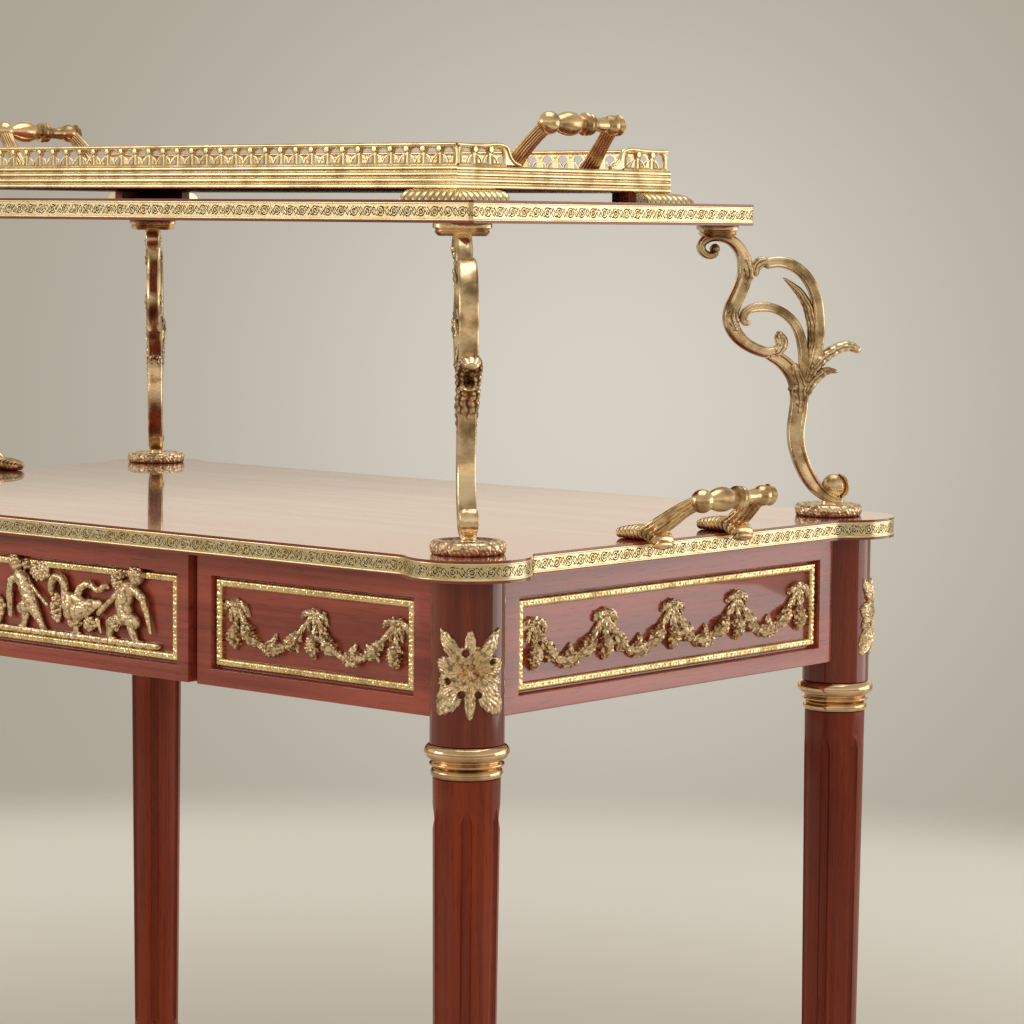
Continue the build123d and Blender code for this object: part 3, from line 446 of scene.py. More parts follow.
def blob(
    start: Numbers,
    stop: Numbers,
    first: float,
    last: float,
    flat: float = 0.8,
    sides: int = 14,
    rows: int = 6,
) -> Surface:
    """A tapering limb with round ends between two points of a panel.

    Rows are circles whose radius goes from first to last in the middle and falls off as a
    half circle over each end, squeezed out of the plane by flat. Its lower half counts as
    recess.

    Args:
        start: (right, up, out) of one end's centre.
        stop: The other end's centre.
        first: Radius at the start.
        last: Radius at the stop.
        flat: Share of the radius that is kept out of the plane.
        sides: Steps round it.
        rows: Rings over each end.

    Returns:
        A closed patch.
    """
    tip = 0.06  # the angle at which the first ring stands off the pole
    a, b = np.asarray(start, float), np.asarray(stop, float)
    run = b - a
    length = float(np.linalg.norm(run))
    run = run / length if length > TINY else np.array([0.0, 1.0, 0.0])
    side = np.cross(run, [0.0, 0.0, 1.0])
    side = side / np.linalg.norm(side) if np.linalg.norm(side) > TINY else np.array([1.0, 0.0, 0.0])
    top = np.cross(side, run)
    turn = np.linspace(tip, math.pi / 2, rows)
    ahead = np.concatenate([-first * np.cos(turn), length + last * np.sin(turn - tip)])
    wide = np.concatenate([first * np.sin(turn), last * np.cos(turn - tip)])
    about = turns(sides)
    points = (
        a
        + ahead[:, None, None] * run
        + (wide[:, None] * np.cos(about))[:, :, None] * side
        + (wide[:, None] * np.sin(about))[:, :, None] * top
    )
    middle = a[2] + (b[2] - a[2]) * np.clip(ahead / max(length, TINY), 0, 1)[:, None]
    rise = points[:, :, 2] - middle
    points[:, :, 2] = middle + rise * flat
    return grid(points, 0.35 + 0.9 * rise / max(first, last), wrap_cols=True, ends=True).outward()


def make_piece(
    name: str,
    body: str,
    surfaces: Sequence[Surface],
    finish: "Finish",
    stands_for: Sequence[str] = (),
    crease: float = CREASE,
) -> bpy.types.Object:
    """Put patches into one mesh object that rides on a CAD body.

    Args:
        name: The piece's name.
        body: The CAD body that it moves with.
        surfaces: Its patches, in millimetres.
        finish: What it is made of.
        stands_for: CAD nodes that it replaces.
        crease: Edges sharper than this many degrees stay sharp.

    Returns:
        The object.
    """
    starts = np.cumsum([0] + [len(s.points) for s in surfaces])
    quads = np.concatenate([s.quads + at for s, at in zip(surfaces, starts)])
    caps = [cap + at for s, at in zip(surfaces, starts) for cap in s.caps]
    corners = np.concatenate([quads.reshape(-1)] + caps).astype(np.int32)
    sizes = np.concatenate([np.full(len(quads), 4), [len(cap) for cap in caps]]).astype(np.int32)
    mesh = bpy.data.meshes.new(name)
    points = np.concatenate([s.points for s in surfaces]) * MM
    mesh.vertices.add(len(points))
    mesh.vertices.foreach_set("co", points.astype(np.float32).ravel())
    mesh.loops.add(len(corners))
    mesh.loops.foreach_set("vertex_index", corners)
    mesh.polygons.add(len(sizes))
    mesh.polygons.foreach_set("loop_start", (np.cumsum(sizes) - sizes).astype(np.int32))
    mesh.update(calc_edges=True)
    relief = mesh.attributes.new("relief", "FLOAT", "POINT")
    relief.data.foreach_set("value", np.concatenate([s.relief for s in surfaces]).astype(np.float32))
    strip = np.zeros((len(corners), 3), np.float32)
    strip[: quads.size, :2] = np.concatenate([s.strip for s in surfaces]).reshape(-1, 2)
    mesh.attributes.new("strip", "FLOAT_VECTOR", "CORNER").data.foreach_set("vector", strip.ravel())
    mesh.shade_smooth()
    mesh.set_sharp_from_angle(angle=math.radians(crease))
    return settle(bpy.data.objects.new(name, mesh), body, finish, stands_for)


def settle(thing: bpy.types.Object, body: str, finish: "Finish", stands_for: Sequence[str]) -> bpy.types.Object:
    """Link a piece, dress it and let it ride on its CAD body.

    Args:
        thing: The new object, at the origin.
        body: The CAD body that it moves with.
        finish: What it is made of.
        stands_for: CAD nodes that it replaces.

    Returns:
        The object.
    """
    bpy.context.scene.collection.objects.link(thing)
    thing.data.materials.clear()
    thing.data.materials.append(finish.material())
    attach(thing, body)
    if stands_for:
        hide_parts(*stands_for)
    log.info("%s: %d faces, rides on %s", thing.name, len(thing.data.polygons), body)
    return thing


def eased_board(node: str, body: str, finish: "Finish", width: float = 0.7) -> bpy.types.Object:
    """A copy of a CAD board with its sharp edges eased.

    Args:
        node: The CAD node.
        body: Its body.
        finish: What it is made of.
        width: Width of the easing in millimetres.

    Returns:
        The piece that stands for the node.
    """
    weld, level, corner = 0.002 * MM, math.radians(0.4), math.radians(50)
    shape = bmesh.new()
    shape.from_mesh(frame["nodes"][node].data)
    bmesh.ops.remove_doubles(shape, verts=shape.verts, dist=weld)
    bmesh.ops.dissolve_limit(shape, angle_limit=level, verts=shape.verts, edges=shape.edges)
    mesh = bpy.data.meshes.new(node + "_eased")
    shape.to_mesh(mesh)
    shape.free()
    mesh.shade_smooth()
    mesh.set_sharp_from_angle(angle=math.radians(CREASE))
    board = bpy.data.objects.new(node + "_eased", mesh)
    bevel = board.modifiers.new("eased", "BEVEL")
    bevel.width = width * MM
    bevel.segments = 2
    bevel.limit_method = "ANGLE"
    bevel.angle_limit = corner
    bevel.harden_normals = True
    return settle(board, body, finish, [node])


# Finishes


class Graph:
    """Short ways to add nodes to a material or group and join them."""

    def __init__(self, tree: bpy.types.NodeTree) -> None:
        """Start on an empty tree."""
        self.tree = tree
        self.tree.nodes.clear()

    def add(self, kind: str, values: Optional[dict] = None, **settings: object) -> bpy.types.Node:
        """Add a node.

        Args:
            kind: Its type, without the ShaderNode in front.
            values: Input names or numbers, and a value or an output for each.
            settings: The node's own properties.

        Returns:
            The node.
        """
        node = self.tree.nodes.new(kind if kind.startswith("Node") else "ShaderNode" + kind)
        for name, value in settings.items():
            setattr(node, name, value)
        for name, value in (values or {}).items():
            if isinstance(value, Socket):
                self.tree.links.new(value, node.inputs[name])
            else:
                node.inputs[name].default_value = value
        return node

    def math(self, operation: str, *values: object) -> Socket:
        """The output of a Math node on numbers or outputs."""
        return self.add("Math", dict(enumerate(values)), operation=operation).outputs[0]

    def ramp(self, value: object, low: float, high: float) -> Socket:
        """A smooth step from 0 at low to 1 at high."""
        values = {"Value": value, "From Min": low, "From Max": high}
        return self.add("MapRange", values, interpolation_type="SMOOTHSTEP").outputs["Result"]

    def mix(self, share: Socket, first: object, second: object) -> Socket:
        """A colour between two colours, numbers or outputs, by a share."""
        pair = ((*c, 1.0) if isinstance(c, tuple) else c for c in (first, second))
        return self.add("Mix", dict(zip((0, 6, 7), (share, *pair))), data_type="RGBA").outputs[2]

    def stretched(self, source: Socket, scale: Numbers) -> Socket:
        """Coordinates multiplied along each axis."""
        return self.add("Mapping", {"Vector": source, "Scale": tuple(scale)}).outputs[0]

    def noise(self, where: Socket, scale: float, detail: float, warp: float = 0.0) -> Socket:
        """A noise value at coordinates."""
        values = {"Vector": where, "Scale": scale, "Detail": detail, "Distortion": warp}
        return self.add("TexNoise", values).outputs[0]

    def use(self, name: str, fill: Callable, outputs: Sequence[str], values: dict[str, object]) -> bpy.types.Node:
        """Add a node group, which is made at its first use.

        Args:
            name: The group's name.
            fill: Builds it from a graph and its inputs, and returns its output values.
            outputs: Names of the values that it puts out.
            values: Its inputs, each a number or another node's coordinates.

        Returns:
            The group's node.
        """
        made = bpy.data.node_groups.get(name)
        if made is None:
            made = bpy.data.node_groups.new(name, "ShaderNodeTree")
            for label, value in values.items():
                kind = "NodeSocketVector" if isinstance(value, Socket) else "NodeSocketFloat"
                made.interface.new_socket(label, in_out="INPUT", socket_type=kind)
            for label in outputs:
                made.interface.new_socket(label, in_out="OUTPUT", socket_type="NodeSocketFloat")
            inside = Graph(made)
            given = inside.add("NodeGroupInput")
            results = fill(inside, {label: given.outputs[label] for label in values})
            inside.add("NodeGroupOutput", {label: results[label] for label in outputs})
        return self.add("Group", values, node_tree=made)


def fill_grain(graph: Graph, given: dict) -> dict:
    """Grain along X: ribbon figure, fine streaks and short open pores, all noise on stretched coordinates.

    Args:
        graph: The group's graph.
        given: Its inputs by name.

    Returns:
        Its outputs by name.
    """
    figure = graph.noise(graph.stretched(given["Place"], (2.0, 22.0, 22.0)), 1.5, 4.0, 0.5)
    streaks = graph.noise(graph.stretched(given["Place"], (5.0, 260.0, 260.0)), 1.0, 3.0, 0.2)
    flecks = graph.noise(graph.stretched(given["Place"], (60.0, 1500.0, 1500.0)), 1.0, 1.0)
    tone = graph.math("ADD", graph.math("MULTIPLY", figure, 0.65), graph.math("MULTIPLY", streaks, 0.35))
    pores = graph.ramp(flecks, 0.60, 0.72)
    height = graph.math("SUBTRACT", graph.math("MULTIPLY", streaks, 0.25), pores)
    return {"Tone": graph.ramp(tone, 0.32, 0.68), "Pores": pores, "Height": height}


def fill_patina(graph: Graph, given: dict) -> dict:
    """Tarnish, from the relief attribute.

    It is thick in recesses, in soft clouds and between the grains of a chased ground. The
    grains and a fine grit are the height.

    Args:
        graph: The group's graph.
        given: Its inputs by name.

    Returns:
        Its outputs by name.
    """
    relief = graph.add("Attribute", attribute_name="relief").outputs["Fac"]
    clouds = graph.noise(given["Place"], 55.0, 4.0)
    stipple = graph.add("TexVoronoi", {"Vector": given["Place"], "Scale": given["Stipple"]}).outputs["Distance"]
    grit = graph.noise(given["Place"], 900.0, 2.0)
    depth = graph.math("SUBTRACT", 1.0, graph.ramp(relief, 0.0, 0.55))
    cloudy = graph.math("MULTIPLY", graph.ramp(clouds, 0.45, 0.75), given["Clouds"])
    chased = graph.math("MULTIPLY", graph.ramp(stipple, 0.42, 0.80), given["Chase"])
    sunk = graph.math("MULTIPLY", depth, given["Recess"])
    dark = graph.math("MAXIMUM", sunk, graph.math("MAXIMUM", cloudy, chased))
    height = graph.math("ADD", graph.math("MULTIPLY", stipple, given["Pitting"]), graph.math("MULTIPLY", grit, 0.25))
    return {"Dark": dark, "Clouds": clouds, "Height": height}


def fill_stamp(graph: Graph, given: dict) -> dict:
    """Engraved band, from the strip attribute in millimetres.

    Each pitch holds two circles round one middle, a lozenge |x| + 0.7 |y| half a pitch away
    and a scroll that winds round both, y = 3 sin(x); thin lines of them are cut into the
    metal, and fine pits lie between them.

    Args:
        graph: The group's graph.
        given: Its inputs by name.

    Returns:
        Its outputs by name.
    """
    place = graph.add("Attribute", attribute_name="strip").outputs["Vector"]
    axes = graph.add("SeparateXYZ", {"Vector": place})
    across = graph.math("SUBTRACT", axes.outputs["Y"], given["Middle"])
    half = graph.math("MULTIPLY", given["Pitch"], 0.5)
    cell = graph.math("PINGPONG", axes.outputs["X"], half)
    far = graph.math("SUBTRACT", half, cell)
    squares = graph.math("ADD", graph.math("POWER", cell, 2.0), graph.math("POWER", across, 2.0))
    distance = graph.math("SQRT", squares)
    lean = graph.math("ADD", far, graph.math("MULTIPLY", graph.math("ABSOLUTE", across), 0.7))
    turn = graph.math("MULTIPLY", graph.math("DIVIDE", axes.outputs["X"], given["Pitch"]), TAU)
    scroll = graph.math("SUBTRACT", across, graph.math("MULTIPLY", graph.math("SINE", turn), 3.0))
    cuts = 0.0
    for shape, radius, width in (
        (distance, 3.3, 0.24), (distance, 1.5, 0.30), (lean, 2.1, 0.26), (scroll, 0.0, 0.20),
    ):
        gap = graph.math("ABSOLUTE", graph.math("SUBTRACT", shape, radius))
        line = graph.math("SUBTRACT", 1.0, graph.ramp(gap, width, width + 0.3))
        cuts = graph.math("MAXIMUM", cuts, line)
    worn = graph.ramp(graph.noise(place, 0.45, 2.0), 0.34, 0.56)
    edge = graph.ramp(graph.math("ABSOLUTE", across), given["Field"], graph.math("ADD", given["Field"], 0.4))
    speck = graph.add("TexVoronoi", {"Vector": place, "Scale": 1.1}).outputs["Distance"]
    pits = graph.math("MULTIPLY", graph.math("SUBTRACT", 1.0, graph.ramp(speck, 0.08, 0.30)), 0.5)
    ground = graph.math("MAXIMUM", graph.math("MULTIPLY", cuts, worn), pits)
    ground = graph.math("MULTIPLY", ground, graph.math("SUBTRACT", 1.0, edge))
    return {"Height": graph.math("SUBTRACT", 1.0, ground), "Ground": ground}


class Grain(Enum):
    """Which way the grain runs, as the turn that lays it along X."""

    ALONG_X = (0.0, 0.0, 0.0)
    ALONG_Y = (0.0, 0.0, -math.pi / 2)
    ALONG_Z = (0.0, math.pi / 2, 0.0)


class Finish:
    """What a piece is made of: a material that is built once under its own name."""

    kind: str
    slot: str

    @property
    def name(self) -> str:
        """The material's name."""
        return f"{self.slot}_{self.kind}"

    def material(self) -> bpy.types.Material:
        """The Blender material, made at its first use.

        Returns:
            The material.
        """
        made = bpy.data.materials.get(self.name)
        if made is None:
            made = bpy.data.materials.new(self.name)
            made.use_nodes = True
            graph = Graph(made.node_tree)
            shader = graph.add("BsdfPrincipled")
            self.dress(graph, shader)
            graph.add("OutputMaterial", {"Surface": shader.outputs[0]})
        return made

    def dress(self, graph: Graph, shader: bpy.types.Node) -> None:
        """Fill the shader's sockets; each finish has its own.

        Args:
            graph: The material's graph.
            shader: Its shader.
        """
        raise NotImplementedError


@dataclass(frozen=True)
class Wood(Finish):
    """Wood with grain, pores and a polish, which is full above a set height, where its colour also takes a little
    painted shade.
    """

    kind: str
    slot: str
    grain: Grain
    deep: Triple
    light: Triple
    pore: Triple
    roughness: float = 0.3
    coat: float = 1.0
    coat_roughness: float = 0.05
    coat_ior: float = 1.5
    specular: float = 0.3
    bump: float = 0.03
    polish_and_painted_shade_from: float = 0.0

    def dress(self, graph: Graph, shader: bpy.types.Node) -> None:
        """Colour between deep and light by the grain, dark pores, painted shade above a set height, and a clear
        polish on top.

        Args:
            graph: The material's graph.
            shader: Its shader.
        """
        place = graph.add("TexCoord").outputs["Object"]
        turned = graph.add("Mapping", {"Vector": place, "Rotation": self.grain.value}).outputs[0]
        grain = graph.use("wood_grain", fill_grain, ("Tone", "Pores", "Height"), {"Place": turned})
        fleck = graph.math("MULTIPLY", grain.outputs["Pores"], 0.55)
        colour = graph.mix(fleck, graph.mix(grain.outputs["Tone"], self.deep, self.light), self.pore)
        shader.inputs["Coat Weight"].default_value = self.coat
        if self.polish_and_painted_shade_from:
            up = graph.add("SeparateXYZ", {"Vector": place}).outputs["Z"]
            block = graph.ramp(up, self.polish_and_painted_shade_from - 0.001, self.polish_and_painted_shade_from)
            # Painted shade: above the set height, on each leg's top block, the colour is darkened a fifth of the way
            # to the pore colour; the full polish there is real.
            colour = graph.mix(graph.math("MULTIPLY", block, 0.2), colour, self.pore)
            graph.tree.links.new(graph.math("MAXIMUM", block, self.coat), shader.inputs["Coat Weight"])
        graph.tree.links.new(colour, shader.inputs["Base Color"])
        rough = graph.math("ADD", graph.math("MULTIPLY", grain.outputs["Tone"], 0.12), self.roughness - 0.06)
        graph.tree.links.new(rough, shader.inputs["Roughness"])
        shader.inputs["Specular IOR Level"].default_value = self.specular
        shader.inputs["Coat IOR"].default_value = self.coat_ior
        shader.inputs["Coat Roughness"].default_value = self.coat_roughness
        bump = graph.add("Bump", {"Height": grain.outputs["Height"], "Strength": 0.35, "Distance": self.bump * MM})
        graph.tree.links.new(bump.outputs[0], shader.inputs["Normal"])


@dataclass(frozen=True)
class Brass(Finish):
    """Gilt brass with tarnish in its recesses."""

    kind: str
    slot: str
    bright: Triple
    dull: Triple
    dark: Triple = (0.075, 0.036, 0.012)
    roughness: float = 0.24
    recess: float = 0.85
    clouds: float = 0.35
    stipple: float = 450.0
    pitting: float = 0.6
    bump: float = 0.10
    chase: float = 0.0

    def dress(self, graph: Graph, shader: bpy.types.Node) -> None:
        """Bright metal, duller in clouds, dark and rough where the patina group says so.

        Args:
            graph: The material's graph.
            shader: Its shader.
        """
        place = graph.add("TexCoord").outputs["Object"]
        values = {
            "Place": place, "Stipple": self.stipple, "Pitting": self.pitting,
            "Recess": self.recess, "Clouds": self.clouds, "Chase": self.chase,
        }
        patina = graph.use("patina", fill_patina, ("Dark", "Clouds", "Height"), values)
        self.finish_metal(graph, shader, *patina.outputs)

    def finish_metal(
        self,
        graph: Graph,
        shader: bpy.types.Node,
        dark: Socket,
        clouds: Socket,
        height: Socket,
        strength: float = 0.5,
    ) -> None:
        """Colours, roughness and bump of the metal.

        Args:
            graph: The material's graph.
            shader: Its shader.
            dark: How much tarnish shows.
            clouds: Slow unevenness.
            height: Fine relief.
            strength: How strongly the bump shows.
        """
        metal = graph.mix(graph.ramp(clouds, 0.35, 0.7), self.bright, self.dull)
        graph.tree.links.new(graph.mix(dark, metal, self.dark), shader.inputs["Base Color"])
        shader.inputs["Metallic"].default_value = 1.0
        rough = graph.math("ADD", graph.math("MULTIPLY", dark, 0.3), self.roughness)
        graph.tree.links.new(rough, shader.inputs["Roughness"])
        bump = graph.add("Bump", {"Height": height, "Strength": strength, "Distance": self.bump * MM})
        graph.tree.links.new(bump.outputs[0], shader.inputs["Normal"])


@dataclass(frozen=True)
class StampedBrass(Brass):
    """Brass strip engraved with circles, lozenges and a scroll between two rims."""

    bump: float = 0.6
    pitch: float = 13.0
    middle: float = 6.0
    field: float = 4.3

    def dress(self, graph: Graph, shader: bpy.types.Node) -> None:
        """The engraved pattern over the plain metal.

        Args:
            graph: The material's graph.
            shader: Its shader.
        """
        values = {"Pitch": self.pitch, "Middle": self.middle, "Field": self.field}
        stamp = graph.use("stamp", fill_stamp, ("Height", "Ground"), values)
        clouds = graph.noise(graph.add("TexCoord").outputs["Object"], 60.0, 4.0)
        dark = graph.math("MULTIPLY", stamp.outputs["Ground"], self.recess)
        self.finish_metal(graph, shader, dark, clouds, stamp.outputs["Height"], 1.0)


APRON_DEEP, APRON_LIGHT, APRON_PORE = (0.225, 0.033, 0.018), (0.450, 0.082, 0.046), (0.060, 0.011, 0.006)
LEG_DEEP, LEG_LIGHT, LEG_PORE = (0.150, 0.018, 0.005), (0.300, 0.044, 0.012), (0.035, 0.005, 0.002)
TOP_DEEP, TOP_LIGHT, TOP_PORE = (0.160, 0.022, 0.010), (0.330, 0.055, 0.024), (0.060, 0.010, 0.005)
PALE_BRIGHT, PALE_DULL = (0.92, 0.77, 0.46), (0.80, 0.62, 0.33)
BAND_BRIGHT, BAND_DULL = (0.89, 0.75, 0.46), (0.79, 0.62, 0.33)
MAHOGANY_LONG = Wood("long", "mahogany", Grain.ALONG_X, APRON_DEEP, APRON_LIGHT, APRON_PORE)
MAHOGANY_CROSS = Wood("cross", "mahogany", Grain.ALONG_Y, APRON_DEEP, APRON_LIGHT, APRON_PORE)
# Legs: above the collars at 0.4985 m, their top blocks take full polish and painted shade in their colour.
MAHOGANY_UPRIGHT = Wood(
    "upright", "mahogany", Grain.ALONG_Z, LEG_DEEP, LEG_LIGHT, LEG_PORE,
    roughness=0.42, coat=0.35, coat_roughness=0.06, specular=0.12, polish_and_painted_shade_from=0.4985)
MAHOGANY_TOP = Wood(
    "top", "mahogany", Grain.ALONG_X, TOP_DEEP, TOP_LIGHT, TOP_PORE, coat_roughness=0.025)
MAHOGANY_BED = Wood(
    "bed", "mahogany", Grain.ALONG_X, APRON_DEEP, APRON_LIGHT, APRON_PORE,
    roughness=0.45, coat=0.3, coat_roughness=0.3, specular=0.2)
OAK = Wood(
    "plain", "oak", Grain.ALONG_Y, (0.28, 0.16, 0.075), (0.46, 0.30, 0.15), (0.14, 0.08, 0.04),
    roughness=0.6, coat=0.0)
GILT = Brass(
    "cast", "gilt_brass", (0.96, 0.75, 0.47), (0.48, 0.31, 0.15),
    clouds=0.55, stipple=320.0, pitting=0.9, bump=0.2)
GILT_CARVED = Brass(
    "carved", "gilt_brass", (0.99, 0.78, 0.50), (0.92, 0.68, 0.40), (0.12, 0.058, 0.022),
    roughness=0.27, recess=0.90, stipple=380.0, pitting=-1.6, bump=0.5, chase=0.65)
GILT_HANDLE = Brass(
    "handle", "gilt_brass", (0.88, 0.65, 0.36), (0.52, 0.33, 0.16),
    roughness=0.22, clouds=0.55, pitting=0.7, bump=0.16)
GILT_TURNED = Brass(
    "turned", "gilt_brass", (0.82, 0.58, 0.34), (0.66, 0.43, 0.23),
    roughness=0.13, pitting=0.2, bump=0.04)
PALE = Brass(
    "plain", "pale_brass", (0.92, 0.77, 0.47), (0.78, 0.61, 0.33),
    roughness=0.20, clouds=0.25, pitting=0.2, bump=0.05)
PALE_BEADED = Brass(
    "beaded", "pale_brass", (0.95, 0.76, 0.40), (0.84, 0.62, 0.28),
    stipple=800.0, bump=0.15)
PALE_PIERCED = Brass(
    "pierced", "pale_brass", PALE_BRIGHT, PALE_DULL,
    roughness=0.22, recess=0.8, clouds=0.2, pitting=0.3, bump=0.06)
PALE_RIBBED = Brass(
    "ribbed", "pale_brass", PALE_BRIGHT, PALE_DULL, (0.10, 0.045, 0.016),
    roughness=0.22, recess=1.0, clouds=0.3, pitting=0.3, bump=0.08)
BAND_LOWER = StampedBrass(
    "band_lower", "pale_brass", BAND_BRIGHT, BAND_DULL, roughness=0.26, recess=1.0, middle=6.15, field=4.1)
BAND_UPPER = StampedBrass(
    "band_upper", "pale_brass", BAND_BRIGHT, BAND_DULL, roughness=0.26, recess=1.0, middle=6.6, field=4.5)
SABOT = Brass(
    "sabot", "gilt_brass", (0.82, 0.58, 0.28), (0.60, 0.39, 0.17),
    roughness=0.18, recess=0.0, clouds=0.5, pitting=0.3, bump=0.05)
CASTER = Brass(
    "worn", "caster_brass", (0.78, 0.57, 0.28), (0.50, 0.33, 0.15),
    roughness=0.30, recess=0.0, clouds=0.7, bump=0.08)
STEEL = Brass(
    "screw", "steel", (0.45, 0.44, 0.42), (0.26, 0.25, 0.24), (0.08, 0.07, 0.06), roughness=0.40, recess=0.0)


# Sub-assemblies


@dataclass
class SubAssembly:
    """A set of pieces that is built together; sizes are millimetres in the trolley's frame."""

    def build(self) -> None:
        """Make and dress the pieces."""
        raise NotImplementedError


@dataclass
class LobedOutline:
    """Plan of the lower top: a rectangle with a round lobe over each leg."""

    half_x: float = 415.1
    half_y: float = 251.5
    lobe: float = 44.0
    fillet: float = 14.0

    def quarter(self, step: float) -> Array:
        """One quarter of the outline, from the middle of the right side to the middle of the back.

        Straight run, hollow fillet, lobe, hollow fillet and straight run: each fillet touches
        its line and the lobe, so its centre lies a fillet outside the line and a lobe and a
        fillet from the leg's axis.

        Args:
            step: Rough distance between points.

        Returns:
            n x 2.
        """
        reach = self.lobe + self.fillet
        rise = math.sqrt(reach**2 - (self.half_x + self.fillet - LEG_X) ** 2)
        side = np.array([self.half_x + self.fillet, LEG_Y - rise])
        run = math.sqrt(reach**2 - (self.half_y + self.fillet - LEG_Y) ** 2)
        back = np.array([LEG_X - run, self.half_y + self.fillet])
        leg = np.array([LEG_X, LEG_Y])
        first, last = (math.atan2(*(p - leg)[::-1]) for p in (side, back))

        def bend(centre: Array, radius: float, start: float, stop: float) -> Array:
            """Points of an arc, in steps of the outline's, without its end."""
            count = max(4, int(abs(stop - start) * radius / step))
            return arc(centre, (radius, radius), np.linspace(start, stop, count))[:-1]

        def straight(start: Array, stop: Array) -> Array:
            """Points of a straight run, without its end."""
            return evenly([start, stop], max(2, int(np.linalg.norm(stop - start) / step)) + 1)[:-1]

        return np.concatenate([
            straight(np.array([self.half_x, 0.0]), np.array([self.half_x, side[1]])),
            bend(side, self.fillet, math.pi, math.pi + first),
            bend(leg, self.lobe, first, last),
            bend(back, self.fillet, last - math.pi, -math.pi / 2),
            straight(np.array([back[0], self.half_y]), np.array([0.0, self.half_y])),
        ])

    def whole(self, step: float) -> Array:
        """The closed outline, by mirroring the quarter, without a repeated point.

        Args:
            step: Rough distance between points.

        Returns:
            n x 2.
        """
        one = self.quarter(step)
        two = (one * (-1, 1))[::-1]
        upper = np.concatenate([one, [[0.0, self.half_y]], two[:-1]])
        lower = (upper * (1, -1))[::-1]
        return np.concatenate([upper, [[-self.half_x, 0.0]], lower[:-1]])


def corner_arcs(half_x: float, half_y: float, radius: float, count: int) -> list[Array]:
    """The quarter circles of a rounded rectangle, each centred on its corner's middle.

    Args:
        half_x: Half its width.
        half_y: Half its height.
        radius: Of its corners.
        count: Points to a quarter.

    Returns:
        The four quarters, counter-clockwise.
    """
    quarter = np.linspace(0, math.pi / 2, count)
    x, y = half_x - radius, half_y - radius
    middles = ((x, y), (-x, y), (-x, -y), (x, -y))
    return [arc(middle, (radius, radius), quarter + k * math.pi / 2) for k, middle in enumerate(middles)]


@dataclass
class PlainOutline:
    """Plan of the upper tier: a rectangle with small round corners."""

    half_x: float = 342.5
    half_y: float = 167.0
    corner: float = 3.0

    def whole(self, step: float) -> Array:
        """The closed outline: four straight runs and four quarter circles.

        Args:
            step: Rough distance between points.

        Returns:
            n x 2.
        """
        quarters = corner_arcs(self.half_x, self.half_y, self.corner, 6)
        runs = []
        for here, then in zip(quarters, quarters[1:] + quarters[:1]):
            count = int(np.linalg.norm(then[0] - here[-1]) / step) + 1
            runs += [here, evenly([here[-1], then[0]], count)[1:-1]]
        return np.concatenate(runs)


@dataclass
class EdgeBand(SubAssembly):
    """Stamped brass band let into the edge of a board."""

    name: str
    node: str
    outline: LobedOutline | PlainOutline
    low: float
    high: float
    finish: StampedBrass
    step: float = 3.0
    depth: float = 1.2
    rim: float = 1.5
    sunk: float = 0.45

    def build(self) -> None:
        """Carry the band's section round the outline.

        The section is flat between two half-round rims: it stands at the outline on the
        rims' crests and sunk behind it in the field, and closes behind at the groove.
        """
        path = self.outline.whole(self.step)
        run = unit(np.roll(path, -1, 0) - np.roll(path, 1, 0))
        outward = np.stack([run[:, 1], -run[:, 0]], 1)
        tall = self.high - self.low
        turn = np.linspace(0, math.pi, 7)
        lower = np.stack([self.sunk * (np.sin(turn) - 1), self.rim * (1 - np.cos(turn)) / 2], 1)
        upper = lower + (0, tall - self.rim)
        section = np.concatenate([lower, upper, [[-self.depth, tall], [-self.depth, 0.0]]])
        flat = path[:, None] + section[None, :, :1] * outward[:, None]
        points = np.dstack([flat, np.broadcast_to(self.low + section[None, :, 1], flat.shape[:2])])
        round_trip = along(np.concatenate([path, path[:1]]))
        count = round(round_trip[-1] / self.finish.pitch)
        gone = round_trip * (count * self.finish.pitch / round_trip[-1])
        heights = np.concatenate([section[:, 1], section[:1, 1]])
        strip = np.stack(np.meshgrid(gone, heights, indexing="ij"), -1)
        ring = grid(points, None, strip, wrap_rows=True, wrap_cols=True).outward()
        make_piece(self.name, "stand", [ring], self.finish, [self.node])


class PanelSide(Enum):
    """The faces of the frieze."""

    FRONT = "front"
    SIDE = "side"
    BACK = "back"


